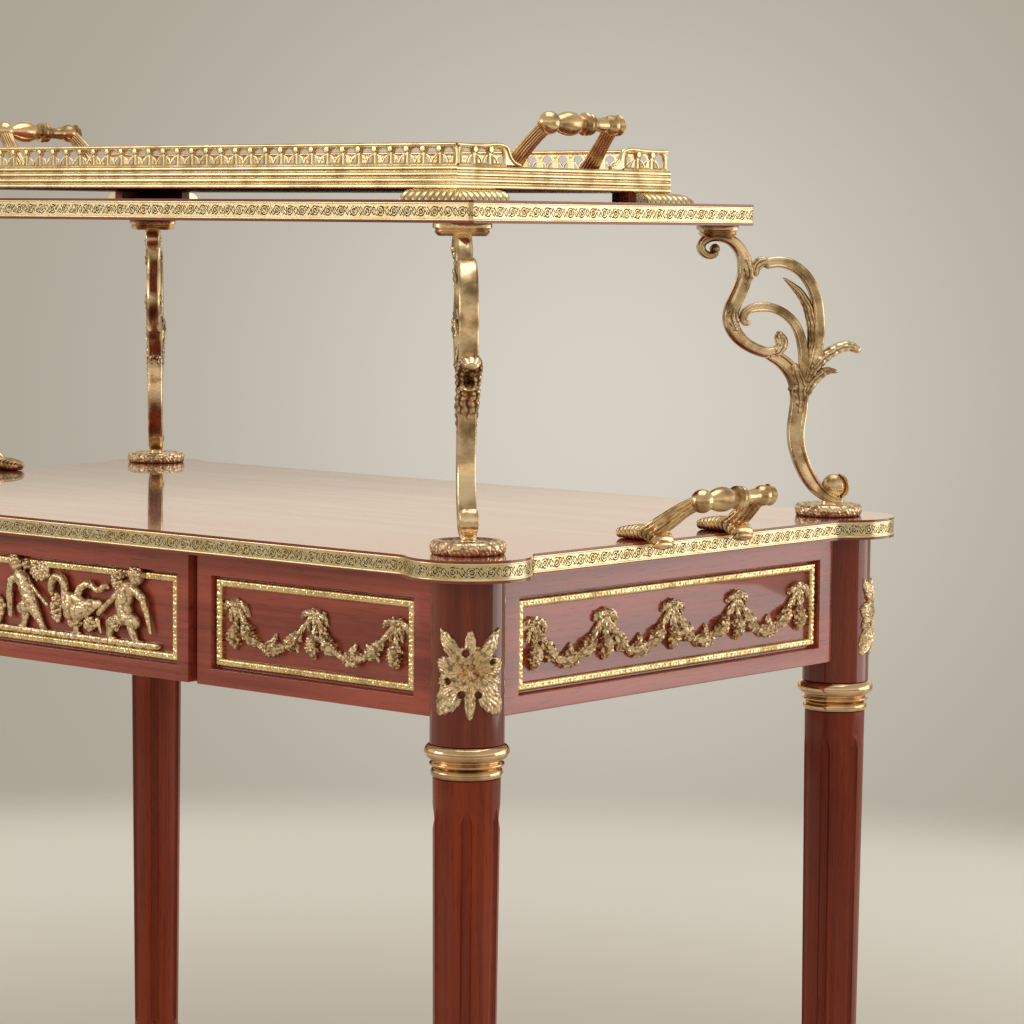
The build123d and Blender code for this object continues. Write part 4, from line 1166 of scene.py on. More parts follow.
@dataclass
class Frieze(SubAssembly):
    """Aprons with sunk panels, each with a beaded frame and a garland."""

    front_face: float = 232.0
    side_face: float = 401.0
    drawer_face: float = 237.0
    panel_z: float = 562.0
    height: float = 64.5
    front_x: float = 249.5
    front_width: float = 196.0
    side_width: float = 355.0
    centre_width: float = 233.0
    pocket: float = 6.5
    frame_width: float = 6.0
    frame_thick: float = 3.2
    pitch: float = 79.0
    nodule: float = 4.2

    def place(self, side: PanelSide, x: float, hand: int = 1) -> Place:
        """The plane of a panel's board face.

        Args:
            side: Which face of the frieze.
            x: The panel's centre along X.
            hand: +1 or -1, for the right or left side.

        Returns:
            The place, looking outwards.
        """
        if side is PanelSide.FRONT:
            return Place((x, -self.front_face, self.panel_z), (1, 0, 0), (0, 0, 1), (0, -1, 0))
        if side is PanelSide.BACK:
            return Place((x, self.front_face, self.panel_z), (-1, 0, 0), (0, 0, 1), (0, 1, 0))
        return Place((hand * self.side_face, 0, self.panel_z), (0, hand, 0), (0, 0, 1), (hand, 0, 0))

    def frame_around(self, width: float) -> list[Surface]:
        """A cast frame for one panel.

        Its section is an arch. Round nodules stand on it in two staggered rows: each is a
        half sphere of the distance from its centre, and their steps along the row vary
        slowly with a sine.

        Args:
            width: The frame's outer width.

        Returns:
            Patches in the panel's axes.
        """
        wide, sunk, edge, cell = self.frame_width, self.pocket, 1.2, 0.7
        turn = np.linspace(0, math.pi, 15)
        crown = edge - sunk + (self.frame_thick - edge) * np.sin(turn) ** 0.5
        arch = np.stack([wide / 2 * (1 - np.cos(turn)), crown], 1)
        section = np.concatenate([[[0, -sunk]], arch, [[wide, -sunk]]])

        def nodules(run: Array, inset: Array) -> Array:
            """Height of the nodules above the arch, sqrt(1 - reach^2) over each of them.

            Args:
                run: Way along the side.
                inset: Way in across the frame.

            Returns:
                A height for each run and inset.
            """
            height = np.zeros(np.broadcast_shapes(run.shape, inset.shape))
            for row, shift in ((0.25, 0.0), (0.75, 0.5)):
                part = run / self.nodule + shift + 0.3 * np.sin(run * 0.41 + 9 * shift)
                off = ((part + 0.5) % 1 - 0.5) * self.nodule
                reach = np.hypot(off, inset - row * wide) / (0.56 * self.nodule)
                height = np.maximum(height, np.sqrt(np.clip(1 - reach**2, 0, 1)))
            return 1.1 * height

        steps = (int(width / cell), int(self.height / cell))
        return mitred_ring(width / 2, self.height / 2, section, steps, nodules)

    def rope(self, points: Points, radii: Numbers, step: float = 0.8) -> Surface:
        """A carved bunch of leaves and berries along a path of the panel.

        Its radius is read from radii at equal parts of the path. On it stand knobs, the
        product of two cosines that wind opposite ways round it, whose steps wander with
        slow sines so that no two knobs match.

        Args:
            points: The path in the panel's axes.
            radii: Radii at equal parts of the path.
            step: Distance between rings.

        Returns:
            A closed patch that lies on the pocket's floor.
        """
        sides, knob_length = 26, 4.8
        length = along(spline(points, 40))[-1]
        count = max(10, int(length / step))
        path = spline(points, count)
        radius = tapered(radii, count)
        turn = turns(sides)
        s, t = np.meshgrid(np.linspace(0, length, count), turn, indexing="ij")
        seed = path[:, :1] * 0.7
        wander = 0.8 * np.sin(s / 2.9 + seed) + 0.5 * np.sin(t * 3 + s / 1.7)
        ahead = math.pi * s / knob_length
        knob = np.abs(np.cos(ahead + 3 * t + wander) * np.cos(ahead - 3 * t + 1.3 * wander)) ** 0.7
        swell = radius[:, None] * (0.66 + 0.54 * knob)
        section = np.stack([swell * np.cos(turn), swell * np.sin(turn)], -1)
        lift = np.full((count, 1), -self.pocket) + 0.55 * radius[:, None]
        return flat_sweep(np.hstack([path, lift]), section, 0.22 + 0.78 * knob)

    def garland(self, drops: int) -> list[Surface]:
        """Drops a pitch apart, joined by swags, with a bow over each drop.

        Args:
            drops: How many drops.

        Returns:
            Patches in the panel's axes.
        """
        drop = [
            ([(0, 12), (0.5, 2), (0, -8), (-0.5, -19)], [1.8, 2.0, 2.0, 2.4, 4.6, 5.6, 5.4, 4.0, 1.4]),
            ([(-1.5, 13), (-5.0, 8), (-5.5, 1)], [1.6, 2.0, 1.8, 1.2]),
            ([(0, 12.5), (-4.5, 15.0), (-9.5, 13.0), (-12.5, 10.0)], [2.0, 2.8, 2.6, 2.8, 2.2, 1.2]),
            ([(1.5, 13), (5.0, 8), (5.5, 1)], [1.6, 2.0, 1.8, 1.2]),
            ([(0, 12.5), (4.5, 15.0), (9.5, 13.0), (12.5, 6.0)], [2.0, 2.8, 2.6, 2.8, 2.2, 1.2]),
            ([(-3, 13.5), (0, 15.5), (3, 13.5)], [2.4, 3.6, 2.4]),
        ]
        swag = [
            ([(3, 11), (10, 1), (17, -9), (27, -14), (40, -14.5), (53, -11), (63, -3), (71, 6), (77, 12)],
             [1.6, 2.0, 3.0, 4.8, 5.6, 5.0, 2.0, 2.4, 5.2, 5.8, 5.0, 1.9, 4.6, 5.6, 4.8, 2.4, 2.0, 1.8, 1.4]),
            ([(38, -11), (40, -6.5), (40.5, -3)], [3.4, 2.6, 0.8]),
            ([(24, -12), (29, -17), (30, -19)], [2.6, 2.2, 0.8]),
            ([(58, -9), (62, -13), (62, -15.5)], [2.6, 2.0, 0.8]),
        ]
        made = []
        for k in range(drops):
            at = ((k - (drops - 1) / 2) * self.pitch, 0)
            ropes = drop + swag if k < drops - 1 else drop
            made += [self.rope(np.add(points, at), radii) for points, radii in ropes]
        return made

    def build(self) -> None:
        """Boards, frames and garlands on every face."""
        for node in ("apron_front_left", "apron_front_right", "apron_back"):
            eased_board(node, "stand", MAHOGANY_LONG)
        for node in ("apron_left", "apron_right"):
            eased_board(node, "stand", MAHOGANY_CROSS)
        front = [self.place(PanelSide.FRONT, hand * self.front_x) for hand in ENDS]
        back = [self.place(PanelSide.BACK, hand * self.front_x) for hand in ENDS]
        sides = [self.place(PanelSide.SIDE, 0, hand) for hand in ENDS]
        centre = [self.place(PanelSide.BACK, 0)]
        narrow, wide, middle = (self.frame_around(w) for w in (self.front_width, self.side_width, self.centre_width))
        for name, places, frames, nodes in (
            ("panel_frames_front", front, narrow, ["panel_frames"]),
            ("panel_frames_back", back, narrow, []),
            ("panel_frame_back_centre", centre, middle, []),
            ("panel_frames_sides", sides, wide, []),
        ):
            make_piece(name, "stand", everywhere(places, frames), PALE_BEADED, nodes)
        short, long = self.garland(3), self.garland(5)
        for name, places, ropes in (("front", front, short), ("back", back, short), ("side", sides, long)):
            piece = "garlands_sides" if name == "side" else f"garlands_{name}"
            make_piece(piece, "stand", everywhere(places, ropes), GILT_CARVED, [f"{name}_garlands"], CAST_CREASE)


@dataclass
class CarvedGroup:
    """Two small children who carry a swan and flowers between them, on a long ledge.

    children and bird are limbs: rows of two ends, two radii and a height above the pocket's
    floor. strips are paths with radii at equal parts, for the bird's neck, its wing and a
    ribbon. bunches are the rows that bunch takes.
    """

    floor: float = -6.5
    ledge_y: float = -23.4
    ledge_half: float = 97.0

    children: list[tuple[float, ...]] = field(default_factory=lambda: [
        (73.5, 27.5, 74.0, 29.5, 6.8, 6.4, 4.0), (66, 21, 70.5, 23.5, 3.6, 3.4, 3.2),
        (62, 15, 64.5, 18, 8.0, 7.2, 3.6), (58.8, 6.5, 61, 12, 7.8, 8.0, 3.6), (61, -1, 59, 4, 7.8, 7.8, 3.6),
        (62.5, -3.5, 71.5, -7, 7.0, 5.4, 4.2), (66.5, -11, 71.5, -21.5, 4.4, 2.8, 3.2),
        (72.5, -22, 79.5, -22.6, 2.7, 2.0, 2.6), (54, -6, 45, -8.5, 5.8, 4.8, 2.8),
        (43.5, -9, 42.6, -20, 4.6, 3.2, 2.8), (42.5, -21.4, 47, -21.8, 2.6, 2.2, 2.4),
        (69, 19, 79.5, 12, 4.2, 3.6, 4.4), (79.8, 11.5, 82.5, 4, 3.3, 2.8, 4.4),
        (82.5, 4, 87.5, -13.5, 3.0, 1.4, 3.6), (61, 18.5, 53.5, 13.5, 3.6, 3.2, 5.2),
        (59, 19, 31.5, -3, 2.3, 2.5, 3.8), (54, 14, 50, 11, 3.0, 2.6, 5.4), (-62, 27, -61.5, 29, 6.4, 6.0, 4.0),
        (-60, 20, -61, 22.5, 3.4, 3.2, 3.2), (-53.5, 14.5, -57.5, 17.5, 7.2, 6.6, 3.6),
        (-48.5, 6, -51.5, 11, 7.2, 7.4, 3.6), (-46, -1, -47.5, 3, 7.4, 7.2, 3.6),
        (-48, -3, -55.5, -6.5, 6.6, 5.0, 4.2), (-52, -10, -54.5, -19.5, 4.2, 2.8, 3.2),
        (-55.5, -20.8, -60.5, -21.2, 2.6, 2.0, 2.6), (-43.5, -4, -38.5, -11.5, 6.0, 4.4, 3.2),
        (-37.8, -12.5, -31.5, -20.8, 3.8, 2.6, 3.0), (-31, -21.4, -34.5, -21.8, 2.5, 2.1, 2.6),
        (-60, 17, -68, 14.5, 3.6, 3.3, 4.2), (-68.5, 14, -70.5, 3, 3.3, 3.0, 4.2),
        (-70.5, 3, -70, -13, 3.8, 2.2, 3.4), (-55, 19.5, -27, -1.5, 1.8, 1.8, 4.4),
        (-52, 16, -46.5, 11.5, 3.3, 2.8, 4.8),
    ])
    bird: list[tuple[float, ...]] = field(default_factory=lambda: [
        (-1, 5, -0.5, -5.5, 5.6, 6.6, 3.8), (8, -3.5, 22, 1.5, 8.0, 6.4, 3.8), (22, 2, 32, 4, 5.8, 3.0, 3.4),
        (6, 6, 15, 4, 5.0, 3.2, 5.0), (12, 1, 22, 3.5, 4.6, 3.0, 5.6), (29, -9, 32.5, -18, 2.6, 1.0, 3.0),
        (4.5, -15, 4.5, -21, 3.2, 2.6, 2.4), (0.5, -21.6, 8.5, -21.6, 1.9, 1.9, 2.2),
    ])
    strips: list[tuple[list[tuple[float, float]], list[float]]] = field(default_factory=lambda: [
        ([(-21, 6), (-21.5, 14), (-17.5, 20), (-10, 20), (-6.5, 14), (-5.5, 4), (-3, -5)],
         [2.6, 3.4, 3.6, 3.8, 3.6, 3.8, 4.4]),
        ([(8, 6), (11.5, 13.5), (18, 17.5), (25, 16.5)], [4.0, 3.8, 3.4, 2.6]),
        ([(21.5, 21), (26.5, 15.5), (33, 14.5), (39, 18), (43, 16)], [1.2, 2.6, 2.6, 2.8, 1.8]),
    ])
    bunches: list[tuple[float, float, float, float, int, float]] = field(default_factory=lambda: [
        (-36, 23.5, 11, 7.5, 30, 0), (-51, 27.5, 5, 3.5, 8, 0), (-61.5, 30.0, 5.4, 4.2, 16, 3.6),
        (50.5, 23.5, 5, 7.5, 16, 0), (58, 28.5, 3, 2.5, 5, 0), (73.5, 30.4, 6.0, 4.4, 18, 3.8),
        (-17.5, -3, 5.5, 11, 24, 0), (3, -12.5, 7, 4, 14, 0), (20.5, -12.5, 6.4, 5.2, 16, 0),
        (50.5, -9.5, 5.2, 5, 12, 2.4), (-86, -8, 8, 9, 22, 0),
    ])
    berry: float = 2.1

    def bunch(self, x: float, y: float, half_x: float, half_y: float, count: int, raised: float) -> list[Surface]:
        """A bunch of flowers: berries on a sunflower spiral over a low cushion.

        Berry k is turned k golden angles and stands at the share sqrt(k / count) of the
        half sizes; the rows fall off outwards.

        Args:
            x: Its middle along the panel.
            y: Its middle up the panel.
            half_x: Half its width.
            half_y: Half its height.
            count: How many berries.
            raised: How far it is lifted off the ground, as for hair on a head.

        Returns:
            Patches in the panel's axes.
        """
        k = np.arange(count)
        reach, turn = np.sqrt(k / count), k * GOLDEN_ANGLE
        right, up = x + half_x * reach * np.cos(turn), y + half_y * reach * np.sin(turn)
        lift = self.floor + 5.4 + raised - 3.0 * reach**2
        low, long = self.floor + 2.2 + raised, abs(half_x - half_y)
        way = (long, 0) if half_x > half_y else (0, long)
        body = min(half_x, half_y)
        made = [blob((x - way[0], y - way[1], low), (x + way[0] + 0.1, y + way[1], low), body, body, 0.5)]
        for a, b, c in zip(right, up, lift):
            made.append(blob((a, b, c), (a + 0.6, b + 0.4, c), self.berry, 0.9 * self.berry, 0.9, 7, 3))
        return made

    def surfaces(self) -> list[Surface]:
        """All of the group: the ledge, the limbs, the strips, the bunches and the stump.

        Returns:
            Patches in the panel's axes.
        """
        ends = np.linspace(-self.ledge_half, self.ledge_half, 110)
        path = np.stack([ends, np.full(110, self.ledge_y), np.full(110, self.floor + 1.6)], 1)
        whole = round_ends(ends + self.ledge_half, 2 * self.ledge_half, 6.0, 0.05)
        edge = (1 + 0.06 * np.cos(ends / 1.7)) * whole
        section = superellipse(16, 4.0)[None] * np.stack([2.6 * edge, 3.6 * edge], 1)[:, None, :]
        made = [flat_sweep(path, section)]
        for x0, y0, x1, y1, first, last, lift in self.children + self.bird:
            made.append(blob((x0, y0, self.floor + lift), (x1, y1, self.floor + lift), first, last))
        oval, count = superellipse(14, 2.0), 40
        for points, radii in self.strips:
            thick = tapered(radii, count) * round_ends(np.arange(count), count - 1, 4.0, 0.1)
            path = np.column_stack([spline(points, count), np.full(count, self.floor + 4.0)])
            relief = np.tile(0.35 + 0.9 * oval[:, 1], (count, 1))
            made.append(flat_sweep(path, thick[:, None, None] * oval[None], relief))
        for numbers in self.bunches:
            made += self.bunch(*numbers)
        made.append(blob((-86, -21, self.floor + 2.5), (-86, -16, self.floor + 2.5), 4.0, 6.0))
        return made


@dataclass
class Drawer(SubAssembly):
    """The drawer's front with its frame and carved group, and the oak box behind it."""

    frieze: Frieze
    group: CarvedGroup

    def build(self) -> None:
        """Front, frame and group on the drawer, and the same group on the back panel."""
        eased_board("drawer_front", "drawer", MAHOGANY_LONG)
        face = Place((0, -self.frieze.drawer_face, self.frieze.panel_z), (1, 0, 0), (0, 0, 1), (0, -1, 0))
        ring = self.frieze.frame_around(self.frieze.centre_width)
        make_piece("drawer_bead_frame", "drawer", face.moved(ring), PALE_BEADED, ["drawer_frame"])
        carving = self.group.surfaces()
        make_piece("drawer_carving", "drawer", face.moved(carving), GILT_CARVED, ["drawer_plaque"], CAST_CREASE)
        rear = self.frieze.place(PanelSide.BACK, 0)
        make_piece("back_carving", "stand", rear.moved(carving), GILT_CARVED, ["back_plaque"], CAST_CREASE)
        for node in ("drawer_sides", "drawer_back", "drawer_bottom"):
            eased_board(node, "drawer", OAK, 0.5)


@dataclass
class Legs(SubAssembly):
    """Fluted legs with their collars, leaf mounts and sabots."""

    collar_low: float = 474.5
    collar_high: float = 498.5
    collar_radius: float = 29.7
    bead_radius: float = 25.2
    neck_radius: float = 21.5
    block_radius: float = 26.0
    mount_middle: float = 551.2
    mount_disc: float = 18.5
    hole: float = 2.3

    def collar(self) -> list[Surface]:
        """Turned collars: a fat torus, a hollow, a thin ring and a lower torus.

        Returns:
            Closed patches.
        """
        low, high = self.collar_low, self.collar_high
        turn = np.linspace(-math.pi / 2, math.pi / 2, 12)
        fat = arc((self.collar_radius - 5.2, high - 5.6), (5.2, 5.4), turn)
        ring = arc((self.bead_radius - 0.2, low + 9.7), (1.2, 1.2), turn)
        base = arc((self.bead_radius - 2.6, low + 3.6), (2.6, 3.4), turn)
        inner = self.neck_radius
        hollow = [[self.bead_radius - 1.2, low + 11.6]]
        profile = np.concatenate([[[inner, low + 0.2]], base, ring, hollow, fat, [[inner, high - 0.1]]])
        return [lathe(profile, Place((sx * LEG_X, sy * LEG_Y, 0)), 64) for sx, sy in CORNERS.values()]

    def mount_edge(self, angle: Array) -> Array:
        """Distance from the leaf mount's middle to its edge, for each direction.

        It is the largest of ten leaves, each a pointed bump of the angle from its own
        direction, with a finely toothed edge.

        Args:
            angle: Directions in radians, 0 to the right.

        Returns:
            Distances in millimetres.
        """
        leaves = [
            (90, 29, 11), (53, 36, 14), (127, 36, 14), (14, 25, 20), (166, 25, 20),
            (-50, 38, 25), (-130, 38, 25), (-90, 33, 10), (-20, 24, 16), (200, 24, 16),
        ]
        edge = np.full_like(angle, self.mount_disc)
        for heading, reach, wide in leaves:
            off = (angle - math.radians(heading) + math.pi) % TAU - math.pi
            share = np.clip(1 - np.abs(off) / math.radians(wide), 0, 1)
            edge = np.maximum(edge, self.mount_disc + (reach - self.mount_disc) * share**0.6)
        return edge * (1 + 0.05 * np.abs(np.cos(angle * 27)))

    def mounts(self) -> list[Surface]:
        """Leaf mounts wrapped round the outward side of the blocks.

        A point at direction a and share r of the edge distance stands off the block by a
        crown that falls to nothing at the edge, plus ribs that run out along the leaves.
        Over the small round holes it dips under the wood.

        Returns:
            Open patches that end inside the block.
        """
        angle = turns(432)
        share = np.concatenate([np.linspace(0.01, 0.94, 40), [0.98, 1.0, 1.0]])
        a, r = np.meshgrid(angle, share, indexing="ij")
        reach = self.mount_edge(angle)[:, None] * r
        right, up = reach * np.cos(a), reach * np.sin(a) - 1.0
        hair = 0.5 + 0.5 * np.cos(a * 54 + 2.5 * np.sin(reach / 2.6) + 1.5 * np.sin(a * 5))
        broad = 0.5 + 0.5 * np.cos(a * 18 + 2.0 * np.sin(reach / 4.0))
        texture = 0.55 * hair + 0.45 * broad
        crown = 1.3 + 2.4 * np.exp(-((reach / 8.0) ** 2)) + 1.5 * np.exp(-(((reach - 21) / 8.0) ** 2))
        height = crown * np.sqrt(np.clip(1 - r**6, 0, 1)) + 1.1 * texture * eased(r, 0.03, 0.2)
        for x, y in ((-3.0, 12.5), (15.0, 6.0), (-14.5, -7.0), (-5.5, -16.0), (5.0, -16.0)):
            near = np.hypot(right - x, up - y)
            lip = 0.7 * np.exp(-((near - self.hole - 1.1) ** 2))
            height = np.where(near < self.hole, -1.2, height + lip)
        height[:, -1] = -1.0
        relief = np.clip(0.25 + 0.75 * texture, 0, 1) * eased(height, -0.5, 1.0)
        made = []
        for sx, sy in CORNERS.values():
            heading = math.atan2(sy, sx)
            turn = heading + right / self.block_radius
            radius = self.block_radius + np.maximum(height, -1.4)
            points = np.stack([
                sx * LEG_X + radius * np.cos(turn),
                sy * LEG_Y + radius * np.sin(turn),
                self.mount_middle + up,
            ], -1)
            made.append(grid(points, relief, wrap_rows=True).facing((sx, sy, 0)))
        return made

    def build(self) -> None:
        """Dress the turned legs and make their mounts."""
        for name in CORNERS:
            dress_node(f"leg_{name}", MAHOGANY_UPRIGHT)
        make_piece("leg_collar_rings", "stand", self.collar(), GILT_TURNED, ["leg_collars"])
        make_piece("leg_leaf_mounts", "stand", self.mounts(), GILT_CARVED, ["leaf_mounts"], LEAF_CREASE)
        dress_node("leg_sabots", SABOT)


def dress_node(node: str, finish: Finish) -> None:
    """Give a CAD node that stays as it is its material.

    Args:
        node: The CAD node.
        finish: What it is made of.
    """
    thing = frame["nodes"][node]
    thing.data.materials.clear()
    thing.data.materials.append(finish.material())
    log.info("%s: CAD shape in %s", node, finish.name)


class LimbShape(Enum):
    """How square a limb of the scroll supports is in section."""

    ROUND = 2.3
    SQUARE = 4.2


@dataclass
class Limb:
    """One limb of a scroll, with its path, half widths and half depths along it.

    hollow is how far its edges are dished, groove the share of its depth that is cut
    along the middle of its faces.
    """

    points: list[tuple[float, float]]
    widths: list[float]
    depths: list[float]
    shape: LimbShape = LimbShape.ROUND
    ribs: float = 0.0
    hollow: float = 0.0
    groove: float = 0.08


@dataclass
class Supports(SubAssembly):
    """Four cast scroll supports with gadrooned bases and moulded plates."""

    base_inset: float = 5.6
    plate_inset: float = 64.4
    tier_bottom: float = 854.1
    drawn_height: float = 226.0
    drawn_lean: float = 91.1
    rosette: float = 26.0
    rosette_height: float = 8.0
    plate_thick: float = 9.0
    plate_radial: float = 30.0
    plate_across: float = 42.0
    plate_corner: float = 10.0
    limbs: list[Limb] = field(default_factory=lambda: [
        Limb([(-91, 206.5), (-95, 203), (-101, 204), (-104, 210), (-99, 216), (-88, 217.5), (-75, 210), (-69, 190),
              (-75, 171), (-80, 153), (-73, 139), (-57, 129), (-47, 128), (-41, 133), (-44, 142)],
             [3.4, 3.6, 4.0, 4.6, 5.0, 5.6, 6.4, 6.6, 6.6, 6.6, 6.5, 6.0, 5.2, 5.0, 4.4, 2.6],
             [7.0, 7.0, 6.8, 6.7, 6.7, 6.7, 6.7, 6.7, 6.7, 6.7, 6.7, 6.8, 7.0, 7.6, 7.4, 4.6], hollow=0.5),
        Limb([(-52, 128), (-38, 120), (-26, 102), (-25, 84), (-27, 64), (-20, 37), (-9, 20.5), (2, 13), (12, 11.5)],
             [5.2, 6.2, 7.0, 7.2, 7.0, 6.6, 6.4, 5.2, 1.8],
             [6.8, 6.9, 7.0, 7.0, 7.0, 7.0, 7.0, 6.8, 5.0], LimbShape.SQUARE, hollow=1.0, groove=0.32),
        Limb([(-21, 98), (-11, 132), (-10.5, 155), (-17.5, 182), (-33, 196), (-46, 198), (-55, 195.5)],
             [4.6, 4.6, 4.5, 4.5, 4.5, 4.8, 4.4], [6.4, 7.0, 7.0, 7.0, 7.0, 7.0, 5.4],
             LimbShape.SQUARE, hollow=0.7, groove=0.26),
        Limb([(-50, 199), (-58, 197), (-61, 191), (-59, 187)], [3.0, 4.2, 4.0, 2.6], [5.4, 6.4, 6.0, 4.0], ribs=0.4),
        Limb([(-20, 112), (-15.5, 134), (-16.5, 154), (-24, 172), (-39, 186)], [2.4, 3.2, 3.8, 3.8, 3.2, 0.8],
             [5.6, 6.2, 6.2, 5.8, 4.8, 1.8], ribs=0.35),
        Limb([(-22, 104), (-22.5, 130), (-30, 151), (-46, 162), (-61, 162.5), (-69, 158), (-69, 151), (-64, 151)],
             [4.0, 4.0, 3.9, 3.8, 3.8, 3.8, 4.2, 3.6, 2.6], [5.2, 5.4, 5.4, 5.2, 5.2, 5.6, 6.0, 5.6, 4.0],
             LimbShape.SQUARE, hollow=0.5, groove=0.24),
        Limb([(-22, 98), (-11, 119), (2, 129.5), (14, 133), (23, 128.5)],
             [3.8, 4.0, 3.8, 3.6, 3.6, 2.8], [5.5, 8.0, 9.0, 9.0, 7.6, 5.0], ribs=0.8),
        Limb([(-23, 90), (-12, 108), (-3, 113.5), (6, 112.5)],
             [3.6, 3.6, 3.2, 1.0], [5.5, 8.0, 8.0, 3.0], ribs=0.8),
        Limb([(9, 13.5), (13, 17.3), (14.4, 23), (12.4, 29.2), (7.4, 32.8)], [1.2, 1.6, 1.6, 1.4, 0.8],
             [5.0, 6.2, 6.8, 6.2, 4.6], groove=0.2),
        Limb([(-52, 125.5), (-42, 129), (-38.5, 137), (-43, 144)],
             [3.0, 3.8, 3.4, 1.8], [6.8, 8.2, 7.4, 4.4], ribs=0.7),
        Limb([(-31, 120), (-26, 102), (-26, 78)], [3.4, 6.9, 1.6], [6.8, 8.4, 6.6], ribs=0.8),
        Limb([(-70, 178), (-67.5, 191), (-71, 203)], [2.6, 5.6, 2.4], [6.4, 8.0, 6.4], ribs=0.8),
        Limb([(-77, 166), (-79, 154), (-74, 142)], [2.6, 5.8, 2.4], [6.4, 8.0, 6.4], ribs=0.8),
    ])
    balls: list[tuple[float, float, float, float]] = field(default_factory=lambda: [
        (4.0, 23.0, 9.6, 7.4), (-93.0, 208.0, 4.0, 8.2),
    ])

    def limb_surface(self, limb: Limb, place: Place) -> Surface:
        """One limb carried along its path.

        The section is a superellipse whose edges are dished and whose faces have a groove
        beside their middle; ribs add waves along it and teeth across it, and its ends are
        rounded off.

        Args:
            limb: The limb.
            place: The support's diagonal plane, with its origin on the base's centre.

        Returns:
            A closed patch.
        """
        lean = self.plate_inset * math.sqrt(2) / self.drawn_lean
        rise = (self.tier_bottom - LOWER_TOP) / self.drawn_height
        knots = np.asarray(limb.points, float) * (lean, rise)
        length = along(spline(knots, 50))[-1]
        count = max(14, int(length / (1.3 if limb.ribs else 2.2)))
        path = spline(knots, count)
        sides = 48
        part = np.linspace(0, 1, count)[:, None]
        wide, deep = tapered(limb.widths, count)[:, None], tapered(limb.depths, count)[:, None]
        across, up = superellipse(sides, limb.shape.value).T
        turn = turns(sides)
        gone = part * length
        ribs = limb.ribs * np.cos(turn * 9 + 0.8 * np.sin(gone / 2.2)) * np.sin(part * math.pi) ** 0.5
        teeth = 1 + 0.2 * limb.ribs * (np.abs(np.sin(gone / 1.9)) - 0.5)
        dish = 1 - limb.hollow * np.exp(-((up / 0.55) ** 2)) / np.maximum(wide, 1.0)
        groove = np.tile(limb.groove * np.exp(-(((across - 0.25) / 0.24) ** 2)), (count, 1))
        section = [across * wide * dish * teeth + ribs * np.sign(across), up * deep * teeth * (1 - groove)]
        section = np.stack(section, -1) * round_ends(gone, length, 3.5, 0.08)[:, :, None]
        relief = 0.5 + 0.6 * ribs / limb.ribs if limb.ribs else 1 - 2.4 * groove
        return flat_sweep(path, section, relief).placed(place).outward()

    def support(self, sx: int, sy: int) -> list[Surface]:
        """All of one support's casting.

        Args:
            sx: Sign of the corner's X.
            sy: Sign of the corner's Y.

        Returns:
            Patches in the trolley's frame.
        """
        foot = self.foot(sx, sy)
        half = 1 / math.sqrt(2)
        place = Place(foot.origin, (sx * half, sy * half, 0), (0, 0, 1), (sy * half, -sx * half, 0))
        made = [self.limb_surface(limb, place) for limb in self.limbs]
        turn = np.linspace(0, math.pi, 14)
        for right, up, radius, deep in self.balls:
            middle = tuple(place.world(np.array([right, up, 0.0])))
            shape = np.stack([radius * np.sin(turn) ** 0.8, -deep * np.cos(turn)], 1)
            made.append(lathe(shape, Place(middle, place.right, place.up, place.out), 32))
        neck = [(0, 6), (6.0, 6), (6.0, 8.5), (5.2, 12), (0, 13)]
        made.append(lathe(neck, foot, 28))
        return made

    def foot(self, sx: int, sy: int) -> Place:
        """Where a support stands on the lower top."""
        return Place((sx * (LEG_X - self.base_inset), sy * (LEG_Y - self.base_inset), LOWER_TOP))

    def rosettes(self) -> list[Surface]:
        """Gadrooned bases.

        The rim swells with sixteen round lobes, |cos| of the angle, and petals run in over
        the top towards the foot.

        Returns:
            Closed patches.
        """
        high, r = self.rosette_height, self.rosette
        profile = [
            (0, 0), (r - 3.2, 0), (r - 2.2, 0.6), (r - 1.6, 2.4), (r - 1.2, 5.0), (r - 1.5, 7.4), (r - 3.2, 9.2),
            (r - 6.4, 9.6), (r - 10, 8.4), (r - 13, 8.0), (r - 14, high), (r - 17, high + 0.6), (0, high + 0.6),
        ]

        def lobes(angle: Array, height: Array) -> Array:
            """Swell of the rim: lobes of uneven width with a fine tooth across them."""
            lobe = np.abs(np.cos(angle * 8 + 0.5 * np.sin(angle * 3))) ** 0.6
            return 1.3 * lobe + 0.5 * np.abs(np.cos(angle * 24 + height / 1.5))

        return [lathe(evenly(profile, 70), self.foot(*signs), 180, lobes) for signs in CORNERS.values()]

    def plates(self) -> list[Surface]:
        """Plates under the tier, with a moulded edge that steps in towards the scroll.

        The plan is a rounded rectangle; each level of the profile draws it in by an inset.

        Returns:
            Closed patches.
        """
        steps = [
            (0.4, 0.0), (0.0, 0.7), (0.0, 3.2), (1.6, 3.9), (2.2, 5.0), (1.4, 6.0), (2.4, 7.6),
            (4.0, self.plate_thick),
        ]
        inset, half = self.base_inset + self.plate_inset, 1 / math.sqrt(2)
        rows = []
        for cut, drop in steps:
            a, b, r = (size - cut for size in (self.plate_radial / 2, self.plate_across / 2, self.plate_corner))
            flat = np.concatenate(corner_arcs(a, b, r, 8))
            rows.append(np.column_stack([flat, np.full(len(flat), -drop)]))
        plate = grid(np.array(rows), wrap_cols=True, ends=True)
        return [
            plate.placed(Place(
                (sx * (LEG_X - inset), sy * (LEG_Y - inset), self.tier_bottom),
                (sx * half, sy * half, 0), (-sy * half, sx * half, 0))).outward()
            for sx, sy in CORNERS.values()
        ]

